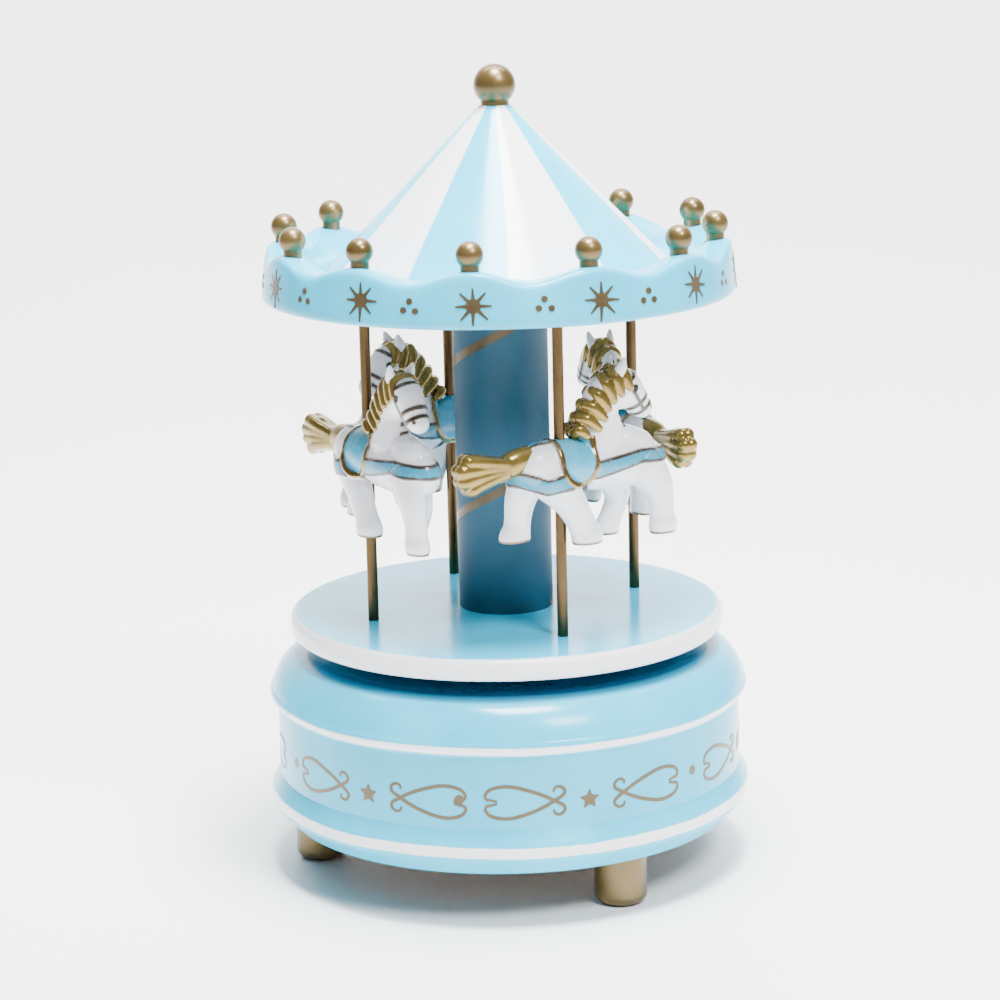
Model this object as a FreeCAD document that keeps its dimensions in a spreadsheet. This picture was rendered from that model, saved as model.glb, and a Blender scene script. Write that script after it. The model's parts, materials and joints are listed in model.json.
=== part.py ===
"""Carousel music box: a turned wooden drum with a spring movement inside it, and a carousel
that turns on the movement's winding arbor. Millimetres, +Z up, origin on the carousel's axis
at the level that the feet stand on. -Y is the front."""
import FreeCAD, Part
import math
import os

import Sketcher

V = FreeCAD.Vector
UP = V(0, 0, 1)
ALONG_X = V(1, 0, 0)

DOC = FreeCAD.newDocument("carousel_music_box")
SHEET = DOC.addObject("Spreadsheet::Sheet", "Sizes")
NODES = []

# ---------------------------------------------------------------- driving dimensions
SIZES = {
    # feet, drum and bottom cover
    "foot_radius": 5.65, "foot_circle": 42.5, "foot_angle": 32.8, "drum_foot": 11.3,
    "drum_base_radius": 49.4, "low_bead_foot": 14.6, "low_bead_neck": 52.4, "low_bead_head": 19.0,
    "low_bead_round": 3.8, "band_foot": 21.4, "band_radius": 51.0, "band_head": 36.9,
    "top_bead_neck": 51.4, "top_bead_foot": 37.6, "top_bead_radius": 52.3, "top_bead_head": 40.6,
    "top_bead_round": 1.9, "shoulder_round": 11.5, "shoulder_radius": 43.4, "shoulder_height": 48.9,
    "drum_top_radius": 38.0, "drum_top": 49.4, "cavity_radius": 44.0, "cavity_top": 44.0,
    "cover_radius": 46.0, "cover_thick": 2.0, "cover_gap": 0.1,
    # winding arbor, its bush and the driven hub
    "arbor_radius": 2.0, "arbor_foot": 27.6, "arbor_top": 54.5, "bush_radius": 4.0, "running_gap": 0.06,
    "hub_radius": 9.0, "hub_foot": 50.3, "hub_boss_radius": 4.5, "hub_boss_top": 55.4,
    # turning platform, column and poles
    "deck_radius": 47.6, "deck_foot": 51.95, "deck_top": 56.8, "deck_round": 1.6,
    "column_radius": 10.3, "dowel_radius": 2.5, "foot_dowel_top": 68.0, "head_dowel_foot": 112.0,
    "head_dowel_top": 146.0, "pole_radius": 1.15, "pole_circle": 31.16, "pole_angle": 22.3,
    "pole_sink": 3.0, "horse_yaw": 10.5,
    "rear_right_yaw": 4.0, "rear_right_drop": 2.0, "rear_left_drop": 0.8,
    # canopy
    "rim_foot": 125.9, "rim_foot_radius": 50.0, "rim_round": 1.4, "rim_wide": 51.2, "rim_wide_height": 127.1,
    "rim_crest_radius": 50.2, "rim_crest": 136.6, "rim_top_radius": 49.2, "rim_top": 137.6,
    "rim_shelf_radius": 44.4, "rim_shelf": 137.3,
    "rim_inner_radius": 38.0, "rim_floor": 132.2, "scallop_round": 34.0, "scallop_depth": 2.2,
    "cone_radius": 36.8, "cone_tip_radius": 3.3, "cone_tip": 166.4, "finial_radius": 4.5,
    "finial_height": 170.6, "finial_peg": 1.5, "finial_peg_foot": 152.0,
    "ball_radius": 2.84, "ball_circle": 46.66, "ball_height": 140.67, "ball_angle": 7.1,
    "ball_neck_radius": 1.95, "ball_neck_foot": 136.3,
    # movement: bedplate, spring and crown wheel
    "bed_low_x": -16.0, "bed_high_x": 37.0, "bed_half": 22.5, "bed_foot": 42.0, "bed_thick": 2.0,
    "bed_corner": 4.0, "housing_radius": 11.3, "housing_wall": 0.8, "housing_foot": 31.6,
    "ear_wide": 5.2, "ear_long": 5.0, "ear_thick": 1.0, "ear_screw_circle": 13.6,
    "glue_block_wide": 9.0, "glue_block_tall": 6.0,
    "spring_inner": 3.4, "spring_strip": 0.3, "spring_gap": 0.5, "spring_foot": 32.9, "spring_tall": 8.4,
    "crown_foot": 29.8, "crown_thick": 1.4, "crown_rim": 11.5, "crown_inner": 9.6, "crown_tip": 28.2,
    "crown_tooth": 0.62,
    # movement: cylinder, comb and governor
    "axis_height": 25.2, "drum_low_x": 14.0, "drum_high_x": 31.5, "pin_drum_radius": 6.0,
    "pin_drum_wall": 0.6, "pin_tall": 0.4, "shaft_radius": 1.0, "shaft_low_x": 9.0,
    "shaft_high_x": 35.5, "pinion_low_x": 9.6, "pinion_wide": 1.8, "wheel_low_x": 32.3,
    "wheel_wide": 1.0, "governor_y": -12.0, "governor_low_x": 22.0, "governor_high_x": 33.8,
    "governor_shaft": 0.6, "worm_x": 26.75, "worm_y": -18.3, "worm_core": 0.8, "worm_outer": 1.9,
    "fan_radius": 5.0, "comb_low_x": 14.2, "comb_wide": 17.2, "comb_tip": 6.62, "comb_back": 20.5,
    "comb_foot": 24.6, "comb_thick": 1.0, "comb_block_front": 15.2, "comb_slot_wide": 0.34,
    "comb_slot_long": 7.6, "comb_slot_step": 0.18,
    # movement: bearing brackets, governor frame, ratchet and click
    "bracket_wide": 9.0, "bracket_drop": 4.2, "bracket_foot": 1.0, "bracket_foot_long": 4.4,
    "inner_bracket_x": 12.3, "inner_bracket_thick": 0.9, "outer_bracket_x": 34.2, "outer_bracket_thick": 1.2,
    "frame_x": 22.0, "frame_y": -21.5, "frame_span": 8.6, "frame_wide": 12.0, "frame_thick": 1.0,
    "frame_foot": 19.2, "frame_shelf": 32.0, "frame_web": 6.3,
    "ratchet_tip": 4.6, "ratchet_root": 3.8, "ratchet_foot": 28.5, "ratchet_thick": 1.0,
    "click_foot": 28.8, "click_thick": 0.8, "click_eye": 1.1, "wire_radius": 9.2, "wire_thick": 0.5,
    "wire_foot": 29.0,
}

# whole numbers and tooth sizes of the gear train
CROWN_TEETH = 28
PINION_TEETH = 10
DRIVE_TEETH = 32
GOVERNOR_TEETH = 8
WORM_WHEEL_TEETH = 16
COMB_TEETH = 18
RATCHET_TEETH = 12
PINS_PER_NOTE = 4
NOTE_TURN = 137.5
BEAT_TURN = 83.0
NOTE_SHIFT = 20.0
BALLS = 12
FEET = 3
COARSE_MODULE = 0.75
FINE_MODULE = 0.6

# small screws of the movement's plates and where they stand
EAR_SCREW = {"head_radius": 1.3, "head_tall": 0.8, "shank_radius": 0.7, "shank_long": 1.4}
PLATE_SCREW = {"head_radius": 1.1, "head_tall": 0.7, "shank_radius": 0.65, "shank_long": 1.3}
BRACKET_SCREW_X = (16.2, 31.8)
BRACKET_SCREW_Y = 2.4
FRAME_SCREW_Y = (-11.5, -19.0)
CLICK_OUTLINE = [(-7.2, 4.3), (-4.9, 0.6), (-5.6, 0.2), (-7.9, 3.0)]
WIRE_START = 160
TROUGH_START = 34.0
TROUGH_LONG = 25.0
WIRE_SWEEP = 100


def fill_sheet():
    """Write every driving dimension into its own named cell."""
    for row, (alias, value) in enumerate(SIZES.items(), start=1):
        SHEET.set(f"A{row}", alias)
        SHEET.set(f"B{row}", str(value))
        SHEET.setAlias(f"B{row}", alias)
    DOC.recompute()


def length(*terms):
    """A sum of sheet cells, as its value and as its expression. A leading - takes a cell away."""
    total = 0.0
    words = []
    for term in terms:
        alias = term.lstrip("-")
        sign = -1.0 if term.startswith("-") else 1.0
        total += sign * SHEET.get(alias)
        words.append(("- " if sign < 0 else "+ ") + "Sizes." + alias)
    return total, " ".join(words).removeprefix("+ ")


def less(cells):
    """The same cells with every sign turned round."""
    return tuple(cell[1:] if cell.startswith("-") else "-" + cell for cell in cells)


def bind(item, prop, *terms):
    """Tie a property to a sum of sheet cells."""
    if terms:
        item.setExpression(prop, length(*terms)[1])


def size(alias):
    return SHEET.get(alias)


def keep(item, name):
    """Make an object one of the kept pieces."""
    item.Label = name
    NODES.append(item)
    return item


def solid(name, shape, placement=None):
    """A piece whose shape is worked out here, for forms that no primitive gives."""
    item = DOC.addObject("Part::Feature", name + "_form")
    item.Shape = shape
    if placement is not None:
        item.Placement = placement
    return item


# ---------------------------------------------------------------- primitives bound to the sheet
def rod(name, radius, foot, head, y=(), axis=UP):
    """A cylinder between two bound stations along its axis."""
    item = DOC.addObject("Part::Cylinder", name + "_rod")
    bind(item, "Radius", *radius)
    bind(item, "Height", *head, *less(foot))
    if axis == UP:
        bind(item, "Placement.Base.z", *foot)
        return item
    item.Placement = FreeCAD.Placement(V(), FreeCAD.Rotation(UP, ALONG_X))
    bind(item, "Placement.Base.x", *foot)
    bind(item, "Placement.Base.y", *y)
    bind(item, "Placement.Base.z", "axis_height")
    return item


def block(name, low, high):
    """A box between two corners, each corner three tuples of cells."""
    item = DOC.addObject("Part::Box", name + "_block")
    for axis, side, start, end in zip("xyz", ("Length", "Width", "Height"), low, high):
        bind(item, "Placement.Base." + axis, *start)
        bind(item, side, *end, *less(start))
    return item


def cut(name, base, *tools):
    """Take tools away from a piece."""
    tool = tools[0]
    if len(tools) > 1:
        tool = DOC.addObject("Part::MultiFuse", name + "_tools")
        tool.Shapes = list(tools)
    item = DOC.addObject("Part::Cut", name + "_cut")
    item.Base = base
    item.Tool = tool
    return item


def fuse(name, *items):
    """Join shapes that are one physical piece."""
    item = DOC.addObject("Part::MultiFuse", name + "_joined")
    item.Shapes = list(items)
    return item


def turned(name, outline):
    """A lathe-turned piece. Each outline point is (radius cells, height cells) and may add the
    cell of the arc's radius for the stretch to the next point: a leading - bends it inwards."""
    body = DOC.addObject("PartDesign::Body", name + "_body")
    sketch = body.newObject("Sketcher::SketchObject", name + "_profile")
    plane = [item for item in body.Origin.OriginFeatures if item.Role == "XZ_Plane"][0]
    sketch.AttachmentSupport = [(plane, "")]
    sketch.MapMode = "FlatFace"
    spots = [V(length(*point[0])[0] if point[0] else 0.0, length(*point[1])[0], 0) for point in outline]
    count = len(outline)
    for index, point in enumerate(outline):
        start = spots[index]
        end = spots[(index + 1) % count]
        sketch.addGeometry(edge_between(start, end, point[2] if len(point) > 2 else None), False)
    for index, point in enumerate(outline):
        bound_vertex(sketch, index, point, spots[index])
        after = (index + 1) % count
        end = 3 - start_of(sketch, index, spots[index])
        start = start_of(sketch, after, spots[after])
        sketch.addConstraint(Sketcher.Constraint("Coincident", index, end, after, start))
    turn = body.newObject("PartDesign::Revolution", name + "_turning")
    turn.Profile = sketch
    turn.ReferenceAxis = (sketch, ["V_Axis"])
    turn.Angle = 360
    return body


def edge_between(start, end, bend):
    """A line, or the short arc of a given radius, from one outline point to the next."""
    if bend is None:
        return Part.LineSegment(start, end)
    radius = size(bend.lstrip("-"))
    side = -1.0 if bend.startswith("-") else 1.0
    chord = end - start
    rise = radius - math.sqrt(radius ** 2 - (chord.Length / 2) ** 2)
    outward = V(chord.y, -chord.x, 0).normalize()
    return Part.Arc(start, (start + end) * 0.5 + outward * (side * rise), end)


def start_of(sketch, index, spot):
    """Which end of an edge, 1 or 2, lies on the outline point that begins it."""
    return 1 if (sketch.getPoint(index, 1) - spot).Length < 1e-6 else 2


def bound_vertex(sketch, index, point, spot):
    """Tie one outline point, and the bend after it, to the sheet."""
    where = start_of(sketch, index, spot)
    if point[0]:
        number = sketch.addConstraint(Sketcher.Constraint("DistanceX", -1, 1, index, where, spot.x))
        sketch.setExpression(f"Constraints[{number}]", length(*point[0])[1])
    else:
        sketch.addConstraint(Sketcher.Constraint("PointOnObject", index, where, -2))
    number = sketch.addConstraint(Sketcher.Constraint("DistanceY", -1, 1, index, where, spot.y))
    sketch.setExpression(f"Constraints[{number}]", length(*point[1])[1])
    if len(point) > 2:
        alias = point[2].lstrip("-")
        number = sketch.addConstraint(Sketcher.Constraint("Radius", index, size(alias)))
        sketch.setExpression(f"Constraints[{number}]", "Sizes." + alias)


def around(radius, degrees, z=0.0):
    """A point on a circle about the axis: 0 degrees is the front, growing counter-clockwise."""
    turn = math.radians(degrees)
    return V(radius * math.sin(turn), -radius * math.cos(turn), z)


# ---------------------------------------------------------------- screws
def screw_shape(at, down, head_radius, head_tall, shank_radius, shank_long):
    """A cheese-head screw: its head's outer face at a point, its shank running the way it goes in."""
    head = Part.makeCylinder(head_radius, head_tall, at, down)
    shank = Part.makeCylinder(shank_radius, shank_long, at + down * (head_tall * 0.5), down)
    slot = Part.makeBox(head_radius * 3, head_radius * 0.35, head_tall * 0.7, V(-head_radius * 1.5,
                        -head_radius * 0.175, -head_tall * 0.35))
    slot.Placement = FreeCAD.Placement(at, FreeCAD.Rotation(UP, down))
    return head.fuse(shank).cut(slot)


def screws(name, spots, down, head_radius, head_tall, shank_radius, shank_long):
    """A set of identical screws, one solid each, kept together."""
    shapes = [screw_shape(spot, down, head_radius, head_tall, shank_radius, shank_long) for spot in spots]
    return keep(solid(name, Part.makeCompound(shapes)), name)


def holes(name, spots, radius, depth, down):
    """Clearance holes where screws pass, as one tool."""
    shapes = [Part.makeCylinder(radius, depth, spot, down) for spot in spots]
    return solid(name, shapes[0].multiFuse(shapes[1:]) if len(shapes) > 1 else shapes[0])


BED_SCREWS = [V(-12.5, -17.5, 0), V(-12.5, 17.5, 0), V(34.2, -16.0, 0), V(34.2, 16.0, 0)]
BED_SCREW = {"head_radius": 2.2, "head_tall": 1.1, "shank_radius": 1.1, "shank_long": 5.6}
COVER_SCREWS = [around(40.2, angle) for angle in (92.8, 212.8, 332.8)]
COVER_SCREW = {"head_radius": 2.0, "head_tall": 0.9, "shank_radius": 1.0, "shank_long": 1.5}
HUB_SCREWS = [around(6.9, angle) for angle in (0.0, 120.0, 240.0)]
HUB_SCREW = {"head_radius": 1.3, "head_tall": 0.7, "shank_radius": 0.7, "shank_long": 4.0}
COMB_SCREWS = [V(17.6, 18.0, 0), V(22.8, 18.0, 0), V(28.0, 18.0, 0)]
COMB_SCREW = {"head_radius": 1.4, "head_tall": 0.8, "shank_radius": 0.75, "shank_long": 5.0}


def lifted(spots, height):
    return [V(spot.x, spot.y, height) for spot in spots]


# ---------------------------------------------------------------- base
def base_drum():
    """The turned drum: painted band between two beads, domed shoulder, hollow from below."""
    body = turned("base_drum", [
        (("cover_radius", "cover_gap"), ("drum_foot",)),
        (("drum_base_radius",), ("drum_foot",)),
        (("low_bead_neck",), ("low_bead_foot",), "low_bead_round"),
        (("low_bead_neck",), ("low_bead_head",)),
        (("band_radius",), ("band_foot",)),
        (("band_radius",), ("band_head",)),
        (("top_bead_neck",), ("top_bead_foot",), "top_bead_round"),
        (("top_bead_radius",), ("top_bead_head",), "shoulder_round"),
        (("shoulder_radius",), ("shoulder_height",)),
        (("drum_top_radius",), ("drum_top",)),
        (("bush_radius",), ("drum_top",)),
        (("bush_radius",), ("cavity_top",)),
        (("cavity_radius",), ("cavity_top",)),
        (("cavity_radius",), ("drum_foot", "cover_thick")),
        (("cover_radius", "cover_gap"), ("drum_foot", "cover_thick")),
    ])
    holes_up = holes("bed_screw_holes", lifted(BED_SCREWS, size("cavity_top") - 1.0),
                     BED_SCREW["shank_radius"], 5.0, UP)
    keep(cut("base_drum", body, holes_up), "base_drum")


def feet():
    """Three turned feet with a rounded lower edge, on dowel pins up into the cover."""
    for number in range(FEET):
        stem = rod(f"foot_{number + 1}", ("foot_radius",), (), ("drum_foot",))
        rounded = DOC.addObject("Part::Fillet", f"foot_{number + 1}_rounded")
        rounded.Base = stem
        DOC.recompute()
        lower = [index for index, edge in enumerate(stem.Shape.Edges, start=1)
                 if edge.BoundBox.ZMax < 1e-6]
        rounded.Edges = [(index, 2.2, 2.2) for index in lower]
        place = around(size("foot_circle"), size("foot_angle") + number * 360.0 / FEET)
        rounded.Placement = FreeCAD.Placement(place, FreeCAD.Rotation())
        keep(rounded, f"foot_{number + 1}")


def glue_blocks():
    """Wooden blocks glued to the cavity's wall, which the cover's screws bite into."""
    floor = size("drum_foot") + size("cover_thick")
    wide = size("glue_block_wide")
    tall = size("glue_block_tall")
    cavity = Part.makeCylinder(size("cavity_radius"), tall, V(0, 0, floor), UP)
    blocks = []
    for spot in lifted(COVER_SCREWS, floor):
        block_shape = Part.makeBox(wide, wide, tall, V(-wide / 2, -wide / 2, 0))
        heading = math.degrees(math.atan2(spot.y, spot.x))
        block_shape.Placement = FreeCAD.Placement(spot, FreeCAD.Rotation(UP, heading))
        block_shape = block_shape.common(cavity)
        blocks.append(block_shape.cut(Part.makeCylinder(COVER_SCREW["shank_radius"], 2.0, spot, UP)))
    return blocks


def bottom_cover():
    """Fibreboard disc let into the drum's foot."""
    disc = rod("bottom_cover", ("cover_radius",), ("drum_foot",), ("drum_foot", "cover_thick"))
    shapes = [screw_shape(spot, UP, **COVER_SCREW) for spot in lifted(COVER_SCREWS, size("drum_foot"))]
    pockets = [Part.makeCylinder(COVER_SCREW["head_radius"], COVER_SCREW["head_tall"], spot, UP)
               .fuse(Part.makeCylinder(COVER_SCREW["shank_radius"], 4.0, spot, UP))
               for spot in lifted(COVER_SCREWS, size("drum_foot"))]
    tool = solid("cover_screw_holes", pockets[0].multiFuse(pockets[1:]))
    keep(cut("bottom_cover", disc, tool), "bottom_cover")
    keep(solid("cover_screws", Part.makeCompound(shapes)), "cover_screws")
    keep(solid("cover_blocks", Part.makeCompound(glue_blocks())), "cover_blocks")


# ---------------------------------------------------------------- movement, fixed parts
def bedplate():
    """Steel plate that carries the whole movement, screwed up under the drum's top."""
    plate = block("bedplate", (("bed_low_x",), ("-bed_half",), ("bed_foot",)),
                  (("bed_high_x",), ("bed_half",), ("bed_foot", "bed_thick")))
    rounded = DOC.addObject("Part::Fillet", "bedplate_rounded")
    rounded.Base = plate
    DOC.recompute()
    tall = [index for index, edge in enumerate(plate.Shape.Edges, start=1)
            if edge.BoundBox.ZLength > 1.0]
    rounded.Edges = [(index, size("bed_corner"), size("bed_corner")) for index in tall]
    arbor_hole = rod("bedplate_arbor_hole", ("arbor_radius", "running_gap"), ("bed_foot",),
                     ("bed_foot", "bed_thick"))
    tool = holes("bedplate_screw_holes", lifted(BED_SCREWS, size("bed_foot") - 1.0),
                 BED_SCREW["shank_radius"], 4.0, UP)
    keep(cut("bedplate", rounded, arbor_hole, tool), "bedplate")
    screws("bedplate_screws", lifted(BED_SCREWS, size("bed_foot") - BED_SCREW["head_tall"]), UP, **BED_SCREW)


def arbor_bush():
    """Brass bush that guides the winding arbor through the drum's top."""
    tube = rod("arbor_bush", ("bush_radius",), ("cavity_top",), ("drum_top",))
    bore = rod("arbor_bush_bore", ("arbor_radius", "running_gap"), ("cavity_top",), ("drum_top",))
    keep(cut("arbor_bush", tube, bore), "arbor_bush")


def spring_housing():
    """Deep-drawn cup round the mainspring, held to the bedplate by three ears."""
    cup = rod("spring_housing", ("housing_radius",), ("housing_foot",), ("bed_foot",))
    hollow = rod("spring_hollow", ("housing_radius", "-housing_wall"), ("housing_foot", "housing_wall"),
                 ("bed_foot",))
    bore = rod("spring_bore", ("arbor_radius", "running_gap"), ("housing_foot",), ("bed_foot",))
    shell = cut("spring_housing", cup, hollow, bore)
    ears = []
    spots = []
    wide = size("ear_wide")
    thick = size("ear_thick")
    start = size("housing_radius") - 0.3
    for angle in (90.0, 180.0, 270.0):
        ear = Part.makeBox(size("ear_long"), wide, thick, V(start, -wide / 2, size("bed_foot") - thick))
        ear.rotate(V(), UP, angle)
        ears.append(ear)
        turn = math.radians(angle)
        reach = size("ear_screw_circle")
        spots.append(V(reach * math.cos(turn), reach * math.sin(turn),
                       size("bed_foot") - thick - EAR_SCREW["head_tall"]))
    drilled = ears[0].multiFuse(ears[1:])
    for spot in spots:
        drilled = drilled.cut(Part.makeCylinder(EAR_SCREW["shank_radius"], thick * 3, spot, UP))
    keep(fuse("spring_housing", shell, solid("spring_ears", drilled)), "spring_housing")
    screws("housing_screws", spots, UP, **EAR_SCREW)


def mainspring():
    """The coiled steel strip, wound as half circles whose centres alternate."""
    strip = size("spring_strip")
    step = (strip + size("spring_gap")) / 2
    bands = []
    radius = size("spring_inner")
    side = 1.0
    limit = size("housing_radius") - size("housing_wall") - 0.6
    while radius + step < limit:
        middle = V(side * step / 2, 0, size("spring_foot"))
        ring = Part.makeCylinder(radius + strip, size("spring_tall"), middle, UP, 180)
        ring = ring.cut(Part.makeCylinder(radius, size("spring_tall"), middle, UP))
        if side < 0:
            ring.rotate(middle, UP, 180)
        bands.append(ring)
        radius += step
        side = -side
    keep(solid("mainspring", bands[0].multiFuse(bands[1:]).removeSplitter()), "mainspring")


def bearing_plate(low_x, thick):
    """A bracket that hangs from the bedplate and carries one end of the cylinder's shaft."""
    wide = size("bracket_wide")
    low_z = size("axis_height") - size("bracket_drop")
    plate = Part.makeBox(thick, wide, size("bed_foot") - low_z, V(low_x, -wide / 2, low_z))
    bore = Part.makeCylinder(size("shaft_radius") + size("running_gap"), thick * 3,
                             V(low_x - thick, 0, size("axis_height")), ALONG_X)
    return plate.cut(bore)


def bracket_foot(low_x, long):
    """The bent foot that a bracket is screwed down by."""
    wide = size("bracket_wide")
    thick = size("bracket_foot")
    return Part.makeBox(long, wide, thick, V(low_x, -wide / 2, size("bed_foot") - thick))


def cylinder_brackets():
    """Inner and outer bearing of the cylinder, their feet turned towards each other."""
    inner_x = size("inner_bracket_x")
    outer_x = size("outer_bracket_x")
    foot_long = size("bracket_foot_long")
    inner = bearing_plate(inner_x, size("inner_bracket_thick")).fuse(
        bracket_foot(inner_x, foot_long + size("inner_bracket_thick")))
    outer = bearing_plate(outer_x, size("outer_bracket_thick")).fuse(
        bracket_foot(outer_x - foot_long, foot_long + size("outer_bracket_thick")))
    spots = [V(x, y, size("bed_foot") - PLATE_SCREW["shank_long"] - 0.4)
             for x in BRACKET_SCREW_X for y in (-BRACKET_SCREW_Y, BRACKET_SCREW_Y)]
    for spot in spots:
        tool = Part.makeCylinder(PLATE_SCREW["shank_radius"], size("bracket_foot") * 3, spot, UP)
        inner = inner.cut(tool)
        outer = outer.cut(tool)
    keep(solid("cylinder_bracket_inner", inner), "cylinder_bracket_inner")
    keep(solid("cylinder_bracket_outer", outer), "cylinder_bracket_outer")
    screws("bracket_screws", spots, UP, **PLATE_SCREW)


def comb_block():
    """Cast block that holds the comb at the cylinder's height."""
    body = block("comb_block", (("comb_low_x",), ("comb_block_front",), ("comb_foot", "comb_thick")),
                 (("comb_low_x", "comb_wide"), ("comb_back", "running_gap"), ("bed_foot",)))
    tool = holes("comb_screw_holes", lifted(COMB_SCREWS, size("comb_foot")), COMB_SCREW["shank_radius"],
                 COMB_SCREW["shank_long"], UP)
    keep(cut("comb_block", body, tool), "comb_block")
    screws("comb_screws", lifted(COMB_SCREWS, size("comb_foot") - COMB_SCREW["head_tall"]), UP, **COMB_SCREW)


def comb():
    """Steel comb: one tongue per note, the longest tongues sounding lowest."""
    plate = block("comb", (("comb_low_x",), ("comb_tip",), ("comb_foot",)),
                  (("comb_low_x", "comb_wide"), ("comb_back",), ("comb_foot", "comb_thick")))
    pitch = size("comb_wide") / COMB_TEETH
    slots = []
    gap = size("comb_slot_wide")
    for number in range(1, COMB_TEETH):
        reach = size("comb_slot_long") - size("comb_slot_step") * number
        low_x = size("comb_low_x") + number * pitch - gap / 2
        start = V(low_x, size("comb_tip") - 0.5, size("comb_foot") - 1.0)
        slots.append(Part.makeBox(gap, reach, size("comb_thick") + 2.0, start))
    tool = solid("comb_slots", Part.makeCompound(slots))
    drill = holes("comb_holes", lifted(COMB_SCREWS, size("comb_foot")), COMB_SCREW["shank_radius"], 3.0, UP)
    keep(cut("comb", cut("comb_slotted", plate, tool), drill), "comb")


def governor_frame():
    """Folded bracket for the governor: two cheeks and three webs, hung from the bedplate."""
    top = size("bed_foot")
    thick = size("frame_thick")
    low_x, low_y, foot = size("frame_x"), size("frame_y"), size("frame_foot")
    span, wide, web = size("frame_span"), size("frame_wide"), size("frame_web")
    cheeks = [Part.makeBox(thick, wide, top - foot, V(x, low_y, foot)) for x in (low_x, low_x + span - thick)]
    webs = [Part.makeBox(span, deep, thick, V(low_x, low_y, z))
            for deep, z in ((wide, top - thick), (web, foot), (web, size("frame_shelf")))]
    shape = cheeks[0].multiFuse(cheeks[1:] + webs)
    bore = size("governor_shaft") + size("running_gap")
    shaft = V(low_x - thick, size("governor_y"), size("axis_height"))
    worm = V(size("worm_x"), size("worm_y"), foot - thick)
    shape = shape.cut(Part.makeCylinder(bore, span + thick * 2, shaft, ALONG_X))
    shape = shape.cut(Part.makeCylinder(bore, size("frame_shelf") - foot + thick * 3, worm, UP))
    spots = [V(low_x + span / 2, y, top - PLATE_SCREW["shank_long"] - 0.4) for y in FRAME_SCREW_Y]
    for spot in spots:
        shape = shape.cut(Part.makeCylinder(PLATE_SCREW["shank_radius"], thick * 3, spot, UP))
    keep(solid("governor_frame", shape), "governor_frame")
    screws("governor_screws", spots, UP, **PLATE_SCREW)


# ---------------------------------------------------------------- gears
def blade(root, tip, thick_root, thick_tip):
    """The side view of one straight-sided tooth, pointing along +Y in the XY plane."""
    points = [V(-thick_root / 2, root, 0), V(thick_root / 2, root, 0), V(thick_tip / 2, tip, 0),
              V(-thick_tip / 2, tip, 0), V(-thick_root / 2, root, 0)]
    return Part.Face(Part.makePolygon(points))


def spur(teeth, wide, root, tip, thick, bore, first):
    """A spur wheel about X, from x = 0. first is the angle of one tooth from +Y towards +Z."""
    wheel = Part.makeCylinder(root, wide, V(), ALONG_X)
    tooth = blade(root - 0.2, tip, thick * 1.15, thick * 0.6)
    tooth.rotate(V(), V(1, 0, 0), 90)
    tooth.rotate(V(), UP, 90)
    tooth = tooth.extrude(V(wide, 0, 0))
    shapes = []
    for number in range(teeth):
        copy = tooth.copy()
        copy.rotate(V(), ALONG_X, first - 90.0 + number * 360.0 / teeth)
        shapes.append(copy)
    return wheel.multiFuse(shapes).cut(Part.makeCylinder(bore, wide, V(), ALONG_X))


def main_gear():
    """Crown wheel on the winding arbor, teeth pointing down at the cylinder's pinion."""
    disc = Part.makeCylinder(size("crown_rim"), size("crown_thick"), V(0, 0, size("crown_foot")), UP)
    wide = size("crown_rim") - size("crown_inner")
    tall = size("crown_foot") - size("crown_tip")
    tooth = blade(0.0, tall + 0.2, size("crown_tooth") * 1.2, size("crown_tooth") * 0.7)
    tooth.rotate(V(), V(1, 0, 0), -90)
    tooth.rotate(V(), UP, 90)
    tooth = tooth.extrude(V(wide, 0, 0))
    tooth.translate(V(size("crown_inner"), 0, size("crown_foot") + 0.2))
    shapes = []
    for number in range(CROWN_TEETH):
        copy = tooth.copy()
        copy.rotate(V(), UP, (number + 0.5) * 360.0 / CROWN_TEETH)
        shapes.append(copy)
    shape = disc.multiFuse(shapes).cut(Part.makeCylinder(size("arbor_radius"), 9.0, V(0, 0, 26.0), UP))
    keep(solid("main_gear", shape), "main_gear")


def saw_tooth_wheel(teeth, tip, root, foot, thick):
    """A wheel with teeth that slope up one way and drop the other, about the main axis."""
    points = []
    for number in range(teeth):
        for share, radius in ((0.0, tip), (0.98, root)):
            angle = 2 * math.pi * (number + share) / teeth
            points.append(V(radius * math.cos(angle), radius * math.sin(angle), foot))
    return Part.Face(Part.makePolygon(points + points[:1])).extrude(V(0, 0, thick))


def ratchet():
    """Ratchet wheel on the arbor, the click on the crown wheel that catches it, and its wire."""
    wheel = saw_tooth_wheel(RATCHET_TEETH, size("ratchet_tip"), size("ratchet_root"), size("ratchet_foot"),
                            size("ratchet_thick"))
    wheel = wheel.cut(Part.makeCylinder(size("arbor_radius"), 3.0, V(0, 0, size("ratchet_foot") - 0.5), UP))
    keep(solid("ratchet_wheel", wheel), "ratchet_wheel")
    foot = size("click_foot")
    tall = size("click_thick")
    eye = Part.makeCylinder(size("click_eye"), tall, V(-6.9, 3.4, foot), UP)
    outline = [V(x, y, foot) for x, y in CLICK_OUTLINE + CLICK_OUTLINE[:1]]
    keep(solid("click", eye.fuse(Part.Face(Part.makePolygon(outline)).extrude(V(0, 0, tall)))), "click")
    outer, wire_thick, wire_foot = size("wire_radius"), size("wire_thick"), size("wire_foot")
    wire = Part.makeCylinder(outer, wire_thick, V(0, 0, wire_foot), UP, WIRE_SWEEP)
    wire = wire.cut(Part.makeCylinder(outer - 0.4, wire_thick, V(0, 0, wire_foot), UP))
    wire.rotate(V(), UP, WIRE_START)
    keep(solid("click_spring", wire), "click_spring")


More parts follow.
